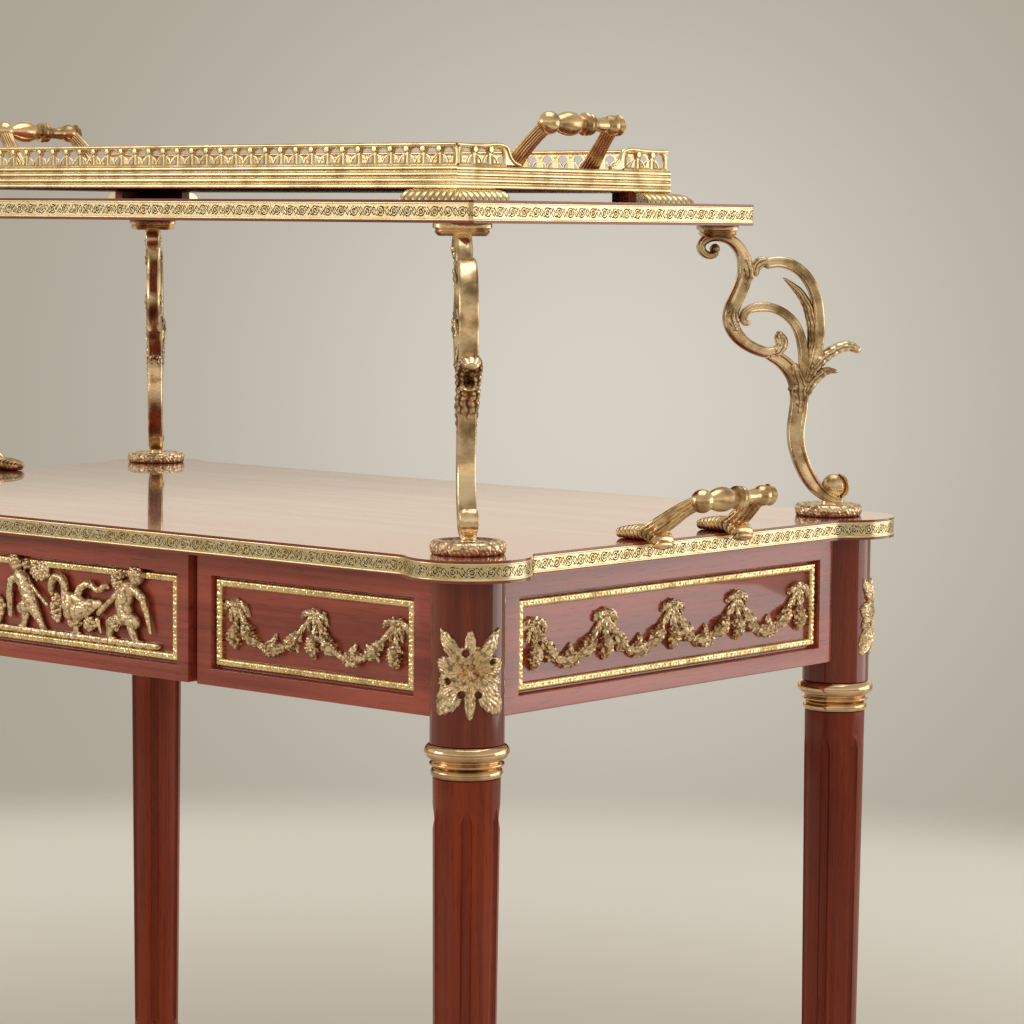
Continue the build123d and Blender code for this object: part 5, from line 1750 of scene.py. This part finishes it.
    def build(self) -> None:
        """Castings, bases and plates."""
        for name, signs in CORNERS.items():
            make_piece(f"scroll_{name}", "stand", self.support(*signs), GILT, [f"support_{name}"], CAST_CREASE)
        make_piece("scroll_bases", "stand", self.rosettes(), GILT_CARVED, ["support_rosettes"], CAST_CREASE)
        make_piece("scroll_plates", "stand", self.plates(), GILT, ["support_plates"])
        dress_node("support_studs", STEEL)
        dress_node("plate_screws", STEEL)


@dataclass
class Handle:
    """A turned grip along Y and the two reeded posts that carry it."""

    grip_x: float
    grip_z: float
    half_span: float = 37.5
    ball: float = 8.7
    back_ball: float = 7.8
    back_span: float = 35.0

    def grip(self, side: int) -> Surface:
        """The turned grip.

        Its profile, from the front end: ball, neck, vase, double ring, bright neck and a
        ball with a button.

        Args:
            side: +1 or -1, for the right or left end of the trolley.

        Returns:
            A closed patch.
        """
        turn = np.linspace(0, math.pi, 13)
        ball = np.stack([self.ball * np.sin(turn), -self.half_span - self.ball * np.cos(turn)], 1)[:-2]
        vase = spline([(4.1, -30.2), (6.8, -25), (9.0, -17), (8.7, -10), (6.6, -3.5), (5.6, 1.5)], 16)
        rings = [(7.6, 2.2), (8.7, 3.6), (8.7, 5.4), (7.4, 6.6), (8.3, 7.8), (8.3, 9.4), (6.6, 10.8)]
        neck = [(5.4, 13), (4.9, 17), (5.2, 21), (6.0, 25.5), (5.2, 28)]
        last = np.stack([self.back_ball * np.sin(turn), self.back_span - self.back_ball * np.cos(turn)], 1)[2:-2]
        button = [(5.0, 40.6), (7.0, 41.6), (8.0, 43.0), (7.0, 44.8), (3.5, 45.6), (0, 45.7)]
        profile = np.concatenate([ball, vase, rings, neck, last, button])
        place = Place((side * self.grip_x, 0, self.grip_z), (1, 0, 0), (0, 0, -1), (0, 1, 0))
        return lathe(profile, place, 40)

    def grips(self) -> list[Surface]:
        """The grips of both ends."""
        return [self.grip(side) for side in ENDS]

    def post(self, path: Array, widths: Numbers, depths: Numbers, reeds: int, twist: float) -> Surface:
        """A reeded post along a path.

        The unit section is a circle with reeds, |cos| of the angle, which wind slowly as
        they go up.

        Args:
            path: The (x, y, z) points that it passes through.
            widths: Half widths across, at equal parts.
            depths: Half depths, at equal parts.
            reeds: How many reeds round it.
            twist: Turn over the whole length.

        Returns:
            A closed patch.
        """
        count, sides = 64, 96
        part, turn = np.linspace(0, 1, count)[:, None], turns(sides)
        swell = 0.86 + 0.18 * np.abs(np.cos(reeds / 2 * turn + twist * part))
        section = swell[:, :, None] * superellipse(sides, 2.2)
        return space_sweep(spline(path, count), tapered(widths, count), tapered(depths, count), section, (0, 1, 0))


@dataclass
class LowerHandles(SubAssembly):
    """Handles of the lower top, with leaf-shaped feet that curl over its edge."""

    grip_x: float = 450.1
    grip_z: float = 658.1
    foot_y: float = 48.0
    foot_start: float = 383.5

    def build(self) -> None:
        """Posts that grow out of a ribbed foot, a blunt toe over the edge, and grips."""
        y = self.foot_y
        foot = (
            [(self.foot_start, y, 4.0), (395, y, 5.0), (408, y, 5.6), (417, y, 4.2), (422.5, y, 0.2),
             (423.8, y, -6.0)],
            [6.4, 8.6, 10.6, 12.0, 12.0, 10.4], [3.6, 4.8, 5.6, 5.6, 5.0, 3.8], 170, 2.0,
        )
        rise = (
            [(411, y, 5), (419, y - 0.5, 10), (429, y - 3, 17), (438.5, y - 6.5, 24), (448, y - 10, 29)],
            [8.2, 8.0, 7.0, 6.2, 5.6], [6.0, 6.4, 6.0, 5.4, 5.0], 90, -0.3,
        )
        posts = [
            self.leaf(np.add(points, (0, 0, LOWER_TOP)) * (side, hand, 1), *sizes)
            for side in ENDS for hand in ENDS for points, *sizes in (foot, rise)
        ]
        make_piece("lower_handle_arms", "stand", posts, GILT_HANDLE, ["lower_handle_posts"], CAST_CREASE)
        grips = Handle(self.grip_x, self.grip_z).grips()
        make_piece("lower_handle_turnings", "stand", grips, GILT_HANDLE, ["lower_handle_grips"])
        dress_node("lower_handle_screws", STEEL)

    def leaf(self, points: Array, widths: Numbers, depths: Numbers, count: int, until: float) -> Surface:
        """A casting with rope-like ribs that slant across it and turn into reeds.

        The ribs are |sin| of the way along plus the angle, the reeds |cos| of the angle,
        and one fades into the other past a share of the length.

        Args:
            points: Its path.
            widths: Half widths at equal parts.
            depths: Half depths at equal parts.
            count: Rings along it.
            until: Share of the length at which the reeds take over.

        Returns:
            A closed patch with round ends.
        """
        sides, rib = 64, 4.2
        line = spline(points, count)
        length = along(line)[-1]
        part, turn = np.linspace(0, 1, count)[:, None], turns(sides)
        slant = np.abs(np.sin(part * length * math.pi / rib + 2.0 * np.sin(turn) + turn))
        reed = np.abs(np.cos(6 * turn + 3.0 * part))
        blend = eased(part, until, until + 0.25)
        swell = (0.82 + 0.22 * (slant * (1 - blend) + reed * blend)) * round_ends(part * length, length, 3.0, 0.05)
        section = swell[:, :, None] * superellipse(sides, 2.5)
        return space_sweep(line, tapered(widths, count), tapered(depths, count), section, (0, 1, 0))


@dataclass
class Tray(SubAssembly):
    """Lift-off tray: board, reeded moulding, pierced gallery, gadrooned feet and handles."""

    half_x: float = 291.8
    half_y: float = 125.3
    bottom: float = 878.4
    floor: float = 887.4
    moulding_top: float = 895.9
    depth: float = 7.5
    reeds: int = 4
    reed_bulge: float = 1.5
    gallery_top: float = 912.5
    tier_top: float = 870.5
    foot_leg: float = 44.0
    foot_flare: float = 13.0
    rail: float = 3.0
    setback: float = 2.6
    cell_pitch: float = 16.0
    opening_share: float = 0.64
    opening_top: float = 12.6
    sill: float = 2.0
    rib_pitch: float = 6.4
    rib_depth: float = 2.4
    shell: float = 3.0
    core: float = 9.0
    foot_gap: float = 0.25
    dip: float = 69.0
    grip_x: float = 304.0
    grip_z: float = 928.4
    post_x: float = 270.0
    post_y: float = 46.0

    def moulding(self) -> list[Surface]:
        """Four mitred lengths with rounded reeds, each a half circle on the outer face.

        Returns:
            Closed patches.
        """
        tall = (self.moulding_top - self.bottom) / self.reeds
        turn = np.linspace(0, math.pi, 9)
        bulge = self.reed_bulge * (1 - np.sin(turn) ** 0.8)
        reed = [
            np.stack([bulge, self.bottom + (k + 0.5 - 0.47 * np.cos(turn)) * tall], 1) for k in range(self.reeds)
        ]
        inner = [(self.depth, self.moulding_top), (self.depth, self.bottom)]
        section = np.concatenate(reed + [np.array(inner)])
        return mitred_ring(self.half_x, self.half_y, section, (60, 30))

    def bar(self, path: Array, half: float, deep: float, sides: int = 6) -> Surface:
        """A thin bar with a rounded section along a path in a strip's plane."""
        section = np.broadcast_to(superellipse(sides, 2.4) * (half, deep), (len(path), sides, 2))
        return flat_sweep(path, np.array(section))

    def cell(self, low: float, high: float) -> Surface:
        """A piece of pierced sheet with one round-topped opening.

        The outline of the opening runs round its sill, two jambs and an arch. Rings lie
        between it and the cell's edge, on straight lines from each outline point to the
        edge; near the opening they rise to a half-round wire and beyond it lies the ground.

        Args:
            low: Where the cell starts along the strip.
            high: Where it ends.

        Returns:
            A closed patch in the strip's (right, up, out) axes.
        """
        middle, half = (low + high) / 2, (high - low) / 2
        top = self.gallery_top - self.moulding_top - self.rail + 0.6
        open_half = half * self.opening_share
        spring = self.opening_top - open_half
        t, turn = np.linspace(0, 1, 6)[:-1, None], np.linspace(0, math.pi, 17)[:, None]
        reach = np.minimum(
            half / np.maximum(np.abs(np.cos(turn)), TINY), (top - spring) / np.maximum(np.sin(turn), TINY))
        arch = np.hstack([np.cos(turn), np.sin(turn)])

        def loop(side: float, sill: float, crown: Array) -> Array:
            """Sill, right jamb, arch and left jamb.

            Args:
                side: Half the opening's width.
                sill: Its lower edge.
                crown: The arch about its own middle.

            Returns:
                n x 2.
            """
            return np.concatenate([
                np.hstack([-side + 2 * side * t, np.full_like(t, sill)]),
                np.hstack([np.full_like(t, side), sill + (spring - sill) * t]),
                crown + (0, spring),
                np.hstack([np.full_like(t, -side), spring + (sill - spring) * t])[1:],
            ])

        inner, outer = loop(open_half, self.sill, open_half * arch), loop(half, -0.6, reach * arch)
        span = np.linalg.norm(outer - inner, axis=1)
        shares = np.array([[0.0, 0.15, 0.4, 0.65, 0.8]])
        away = np.minimum(shares * span[:, None], np.array([[0.0, 0.3, 0.8, 1.3, 1.6]]))
        rings = inner[:, None] + (outer - inner)[:, None] * (away / span[:, None])[:, :, None]
        rings = np.concatenate([rings, outer[:, None]], 1)[:, ::-1]
        front = np.broadcast_to(np.array([0.35, 0.4, 0.95, 1.25, 0.95, 0.3]), rings.shape[:2])
        back = np.stack([rings[:, -1], rings[:, 0]], 1)
        flat = np.concatenate([rings, back], 1)
        lift = np.concatenate([front, np.full((len(rings), 2), -0.5)], 1)
        relief = np.broadcast_to(np.array([0.42, 0.12, 0.9, 1.0, 0.9, 0.6, 0.6, 0.5])[:, None], (8, len(rings)))
        points = np.dstack([flat, lift]).transpose(1, 0, 2) + (middle, 0, 0)
        return grid(points, relief, wrap_rows=True, wrap_cols=True).outward()

    def arcade(self, low: float, high: float) -> list[Surface]:
        """Pierced cells between two places of a strip.

        Between two cells a boss hangs under the rail, and a thin half-round wire crosses
        the lower part of both openings.

        Args:
            low: Where the strip starts.
            high: Where it ends.

        Returns:
            Patches in the strip's (right, up, out) axes, whose up starts at the moulding.
        """
        count = max(2, round((high - low) / self.cell_pitch))
        edges = np.linspace(low, high, count + 1)
        made = [self.cell(a, b) for a, b in zip(edges, edges[1:])]
        under = self.gallery_top - self.moulding_top - self.rail - 0.4
        disc = [(0, -1.3), (2.0, -1.2), (2.5, 0), (2.0, 1.2), (0, 1.3)]
        made += [lathe(disc, Place((x, under - 1.4, 0.4)), 14) for x in edges[1:-1]]
        wire = arc((0, 0.8), (0.5 * self.cell_pitch, 7.4), np.linspace(0, math.pi, 13))
        made += [self.bar(wire + (x, 0), 0.62, 0.8) for x in edges[1:-1]]
        for up, half, deep in ((0.6, 0.9, 1.4), (under + 0.4, 0.65, 1.5)):
            made.append(self.bar(evenly([(low, up), (high, up)], 12), half, deep, 8))
        return made

    def rail_bar(self, path: Array) -> Surface:
        """The bead that runs along the top of the gallery."""
        return self.bar(path, 1.5, 1.8, 14)

    def gallery(self) -> list[Surface]:
        """Strips on the long sides, and on the short sides with an S-shaped dip for the handle.

        Returns:
            Closed patches.
        """
        made = []
        tall = self.gallery_top - self.moulding_top - 1.5
        x, y = self.half_x - self.setback, self.half_y - self.setback
        dip = [(y, tall), (90, tall), (72, tall), (68.5, tall - 1.2), (65, 8.0), (60, 3.2), (53, 1.0)]
        web = [(self.dip, tall - 2), (66.5, 8.0), (61.5, 3.6), (55, 1.0)]
        for side in ENDS:
            place = Place((0, side * y, self.moulding_top), (-side, 0, 0), (0, 0, 1), (0, side, 0))
            parts = self.arcade(-x, x) + [self.rail_bar(evenly([(-x, tall), (x, tall)], 30))]
            made += [s.outward() for s in place.moved(parts)]
            place = Place((side * x, 0, self.moulding_top), (0, side, 0), (0, 0, 1), (side, 0, 0))
            for hand in ENDS:
                parts = self.arcade(*sorted((hand * (y - 1.5), hand * self.dip)))
                parts.append(self.rail_bar(spline(np.multiply(dip, (hand, 1)), 60)))
                curve = spline(np.multiply(web, (hand, 1)), 20)
                edge = np.stack([np.full(len(curve), hand * self.dip), curve[:, 1]], 1)
                fill = np.stack([curve, edge], 1)
                front, back = (np.dstack([fill, np.full(fill.shape[:2], out)]) for out in (0.6, -0.6))
                parts.append(grid(np.concatenate([front, back[:, ::-1]], 1), wrap_cols=True, ends=True).outward())
                made += [s.outward() for s in place.moved(parts)]
        return made

    def feet(self) -> list[Surface]:
        """Gadrooned brass shells of the corner feet.

        Each leg of a foot is a quarter-round that swells from the tray down to the tier. It
        is carved into ribs that run down the swell, |cos| of the way along the leg, and the
        two legs meet on a mitre. The way along is cut off at the mitre line, where both
        insets are the same.

        Returns:
            Closed patches.
        """
        low, high, count = self.tier_top + self.foot_gap, self.bottom, 10
        turn = np.linspace(0, math.pi / 2, count)
        swell = np.stack([-self.foot_flare * np.sin(turn), high - (high - low) * (1 - np.cos(turn))], 1)
        section = np.concatenate([swell, [[self.shell, low], [self.shell, high]]])
        carved = np.zeros(len(section))
        carved[:count] = self.rib_depth * np.sin(np.linspace(0.5, math.pi - 0.5, count))
        return self.corner_bars(section, self.foot_leg, 110, carved)

    def corner_bars(self, section: Array, leg: float, columns: int, carved: Array) -> list[Surface]:
        """A section carried along both sides of each corner of the tray, with a mitre.

        Args:
            section: Inset from the tray's edge and height, a closed loop.
            leg: How far it runs from the corner.
            columns: Steps along each leg.
            carved: Depth of the grooves between ribs at each point of the section.

        Returns:
            Closed patches.
        """
        made = []
        lift = np.repeat(section[None, :, 1], columns, 0)
        t = np.linspace(0, 1, columns)[:, None]
        for sx, sy in CORNERS.values():
            for long, short in ((self.half_x, self.half_y), (self.half_y, self.half_x)):
                start = long - leg
                run = start + (long - section[None, :, 0] - start) * t
                ribs = np.abs(np.cos((run - start) * math.pi / self.rib_pitch)) ** 0.75
                out = short - section[None, :, 0] - (1 - ribs) * carved[None]
                x, y = (run, out) if long == self.half_x else (out, run)
                relief = np.where(carved[None] > 0, ribs, 0.9)
                made.append(grid(np.stack([sx * x, sy * y, lift], -1), relief, wrap_cols=True, ends=True).outward())
        return made

    def cores(self) -> list[Surface]:
        """Wooden cores inside the shells, a little longer than them.

        Returns:
            Closed patches.
        """
        low, high, near, far = self.tier_top + self.foot_gap, self.bottom, self.shell, self.shell + self.core
        section = np.array([[near, high], [near, low], [far, low], [far, high]])
        return self.corner_bars(section, self.foot_leg + 5.0, 3, np.zeros(4))

    def build(self) -> None:
        """Board, moulding, gallery, feet and handles."""
        eased_board("tray_bed", "tray", MAHOGANY_BED, 0.4)
        make_piece("tray_reeded_moulding", "tray", self.moulding(), PALE, ["tray_moulding"], TRAY_CREASE)
        make_piece("tray_arcade", "tray", self.gallery(), PALE_PIERCED, ["tray_gallery"], TRAY_CREASE)
        make_piece("tray_gadrooned_feet", "tray", self.feet(), PALE_RIBBED, ["tray_feet"], CAST_CREASE)
        make_piece("tray_foot_cores", "tray", self.cores(), MAHOGANY_BED)
        handle = Handle(self.grip_x, self.grip_z)
        x, y, z = self.post_x, self.post_y, self.floor
        path = [
            (x - 3, y + 1, z + 0.4), (x + 3, y, z + 7), (x + 14, y - 2.5, z + 20), (x + 25, y - 5.5, z + 32),
            (self.grip_x - 2, y - 8, self.grip_z - 2),
        ]
        widths, depths = [8.2, 7.4, 6.4, 5.8, 5.6, 5.8], [7.2, 6.2, 5.6, 5.2, 5.0, 5.2]
        posts = [
            handle.post(np.multiply(path, (side, hand, 1)), widths, depths, 16, 0.5) for side in ENDS for hand in ENDS
        ]
        make_piece("tray_handle_arms", "tray", posts, GILT_HANDLE, ["tray_handle_posts"], CAST_CREASE)
        make_piece("tray_handle_turnings", "tray", handle.grips(), GILT_HANDLE, ["tray_handle_grips"])
        dress_node("tray_handle_screws", STEEL)


@dataclass
class Boards(SubAssembly):
    """The lower top and the upper tier."""

    def build(self) -> None:
        """Boards with eased lips and their stamped bands."""
        eased_board("lower_top", "stand", MAHOGANY_TOP, 0.6)
        eased_board("upper_top", "stand", MAHOGANY_TOP, 0.6)
        EdgeBand("lower_edge_band", "lower_top_band", LobedOutline(), 614.2, 626.5, BAND_LOWER).build()
        EdgeBand("upper_edge_band", "upper_top_band", PlainOutline(), 855.7, 868.9, BAND_UPPER).build()


@dataclass
class Carcase(SubAssembly):
    """Pieces inside the frieze, and the casters."""

    def build(self) -> None:
        """Dress the CAD shapes that stay as they are."""
        dress_node("drawer_rails", MAHOGANY_LONG)
        for node in ("drawer_runners", "drawer_kickers", "glue_blocks"):
            dress_node(node, OAK)
        dress_node("top_screws", STEEL)
        for name in CORNERS:
            dress_node(f"caster_fork_{name}", CASTER)
            dress_node(f"caster_wheel_{name}", CASTER)


# Studio


@dataclass
class Studio:
    """Floor, light and camera."""

    lens: float = 115.0
    eye: Triple = (1.8593, -1.8943, 0.8555)
    yaw: float = 0.7074
    pitch: float = 0.0885
    roll: float = 0.0095
    sensor: float = 36.0
    floor_rings: tuple[float, ...] = (0.02, 0.6, 1.4, 2.2, 3.2)
    floor_roughness: float = 0.85
    floor_near: Triple = (0.60, 0.56, 0.50)
    floor_far: Triple = (0.88, 0.86, 0.80)
    floor_lightens: tuple[float, float] = (0.6, 1.7)
    floor_fades: tuple[float, float] = (1.85, 2.35)
    wall: Triple = (0.40, 0.365, 0.295)
    ceiling: Triple = (0.50, 0.47, 0.41)
    bank: tuple[float, float, float, float] = (4.2, 5.0, 9.0, 30.0)
    bank_colour: Triple = (0.94, 0.78, 0.61)
    glow: Triple = (0.28, 0.27, 0.265)
    glow_at: tuple[float, float] = (1.54, 1.96)
    glow_spread: float = 7.0

    def look(self, right: float, up: float) -> Array:
        """A direction from the camera, some degrees to the right of its middle and up from it."""
        yaw, pitch = self.yaw - math.radians(right), self.pitch - math.radians(up)
        return np.array([-math.sin(yaw) * math.cos(pitch), math.cos(yaw) * math.cos(pitch), -math.sin(pitch)])

    def camera(self) -> None:
        """Stand the camera where the photograph was taken, turned by yaw, pitch and roll."""
        way = self.look(0.0, 0.0)
        level = np.array([math.cos(self.yaw), math.sin(self.yaw), 0.0])
        up = np.cross(level, way)
        right = math.cos(self.roll) * level + math.sin(self.roll) * up
        head = -math.sin(self.roll) * level + math.cos(self.roll) * up
        data = bpy.data.cameras.new("camera")
        data.lens, data.sensor_width = self.lens, self.sensor
        camera = bpy.data.objects.new("camera", data)
        turned = np.eye(4)
        turned[:3] = np.stack([right, head, -way, self.eye], 1)
        camera.matrix_world = Matrix(turned.tolist())
        bpy.context.scene.collection.objects.link(camera)
        bpy.context.scene.camera = camera

    def lamp(
        self,
        name: str,
        at: Numbers,
        aim: Numbers,
        size: Numbers,
        power: float,
        colour: Numbers = (1.0, 1.0, 1.0),
    ) -> None:
        """A soft rectangular lamp.

        Args:
            name: Its name.
            at: Where it stands, in metres.
            aim: What it looks at.
            size: Width and height in metres.
            power: Watts.
            colour: Its colour.
        """
        data = bpy.data.lights.new(name, "AREA")
        data.shape, data.size, data.size_y = "RECTANGLE", size[0], size[1]
        data.energy, data.color = power, tuple(colour)
        lamp = bpy.data.objects.new(name, data)
        lamp.visible_camera = False
        way = Vector(aim) - Vector(at)
        lamp.rotation_mode = "QUATERNION"
        lamp.rotation_quaternion = way.to_track_quat("-Z", "Y")
        lamp.location = Vector(at)
        bpy.context.scene.collection.objects.link(lamp)

    def floor(self) -> None:
        """A round pale floor, lighter far out, that fades at its edge into the surround."""
        sides = 96
        angle = turns(sides)
        radius = np.repeat(np.array(self.floor_rings)[:, None], sides, 1)
        points = np.stack([radius * np.cos(angle), radius * np.sin(angle), 0 * radius], -1)
        disc = grid(points, wrap_cols=True).facing((0, 0, 1))
        mesh = bpy.data.meshes.new("studio_floor")
        mesh.from_pydata(disc.points.tolist(), [], disc.quads.tolist() + [list(range(sides))])
        thing = bpy.data.objects.new("studio_floor", mesh)
        bpy.context.scene.collection.objects.link(thing)
        material = bpy.data.materials.new("studio_floor")
        material.use_nodes = True
        graph = Graph(material.node_tree)
        place = graph.add("TexCoord").outputs["Object"]
        distance = graph.add("VectorMath", {0: place}, operation="LENGTH").outputs["Value"]
        colour = graph.mix(graph.ramp(distance, *self.floor_lightens), self.floor_near, self.floor_far)
        shader = graph.add("BsdfPrincipled", {"Base Color": colour, "Roughness": self.floor_roughness})
        clear = graph.add("BsdfTransparent")
        fade = graph.ramp(distance, *self.floor_fades)
        blend = graph.add("MixShader", {0: fade, 1: shader.outputs[0], 2: clear.outputs[0]})
        graph.add("OutputMaterial", {"Surface": blend.outputs[0]})
        mesh.materials.append(material)

    def world(self) -> None:
        """A warm grey surround.

        Its colour runs with the sine of the elevation: an even wall up to eye height, a
        bright bank of light just above it that the tops mirror, and a duller ceiling. A
        soft round glow is added on the wall behind the trolley: exp(k (cos a - 1)), with
        a the angle from the glow's middle.
        """
        world = bpy.data.worlds.new("surround")
        bpy.context.scene.world = world
        world.use_nodes = True
        graph = Graph(world.node_tree)
        way = graph.add("TexCoord").outputs["Generated"]
        height = graph.add("SeparateXYZ", {"Vector": way}).outputs["Z"]
        share = graph.add("MapRange", {"Value": height, "From Min": -1.0, "From Max": 1.0}).outputs["Result"]
        stops = graph.add("ValToRGB", {"Fac": share})
        steps = stops.color_ramp.elements
        steps[0].color, steps[1].color = (*self.wall, 1), (*self.ceiling, 1)
        for degrees, colour in zip(self.bank, (self.wall, self.bank_colour, self.bank_colour, self.ceiling)):
            steps.new(0.5 + 0.5 * math.sin(math.radians(degrees))).color = (*colour, 1)
        middle = self.look(*self.glow_at)
        near = graph.add("VectorMath", {0: way, 1: tuple(middle)}, operation="DOT_PRODUCT").outputs["Value"]
        spread = 2.0 / math.radians(self.glow_spread) ** 2
        glow = graph.math("EXPONENT", graph.math("MULTIPLY", graph.math("SUBTRACT", near, 1.0), spread))
        lit = graph.add("VectorMath", {0: self.glow, "Scale": glow}, operation="SCALE").outputs[0]
        colour = graph.add("VectorMath", {0: stops.outputs["Color"], 1: lit}, operation="ADD").outputs[0]
        background = graph.add("Background", {"Color": colour, "Strength": 1.0})
        graph.add("OutputWorld", {"Surface": background.outputs[0]})

    def build(self) -> None:
        """Camera, floor, surround and lamps."""
        self.camera()
        self.floor()
        self.world()
        centre = (0.0, 0.0, 0.6)
        self.lamp("key_right", (2.1, 2.2, 0.70), (0.3, 0.0, 0.62), (2.4, 1.3), 16.5, (1.0, 0.97, 0.95))
        self.lamp("fill_front", (-1.9, -2.6, 1.45), centre, (1.5, 0.9), 13.5, (1.0, 0.96, 0.92))
        self.lamp("over", (0.3, 0.2, 3.2), centre, (2.4, 2.0), 24.0)
        bpy.context.scene.view_settings.view_transform = "Standard"


def main() -> None:
    """Build the studio and every sub-assembly in order."""
    logging.basicConfig(level=logging.INFO, format="%(name)s: %(message)s")
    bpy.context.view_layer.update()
    Studio().build()
    frieze = Frieze()
    parts: list[SubAssembly] = [
        Boards(), frieze, Drawer(frieze, CarvedGroup()), Legs(), Supports(), LowerHandles(), Tray(), Carcase(),
    ]
    for part in parts:
        log.info("building %s", type(part).__name__)
        part.build()


if __name__ == "__main__":
    main()
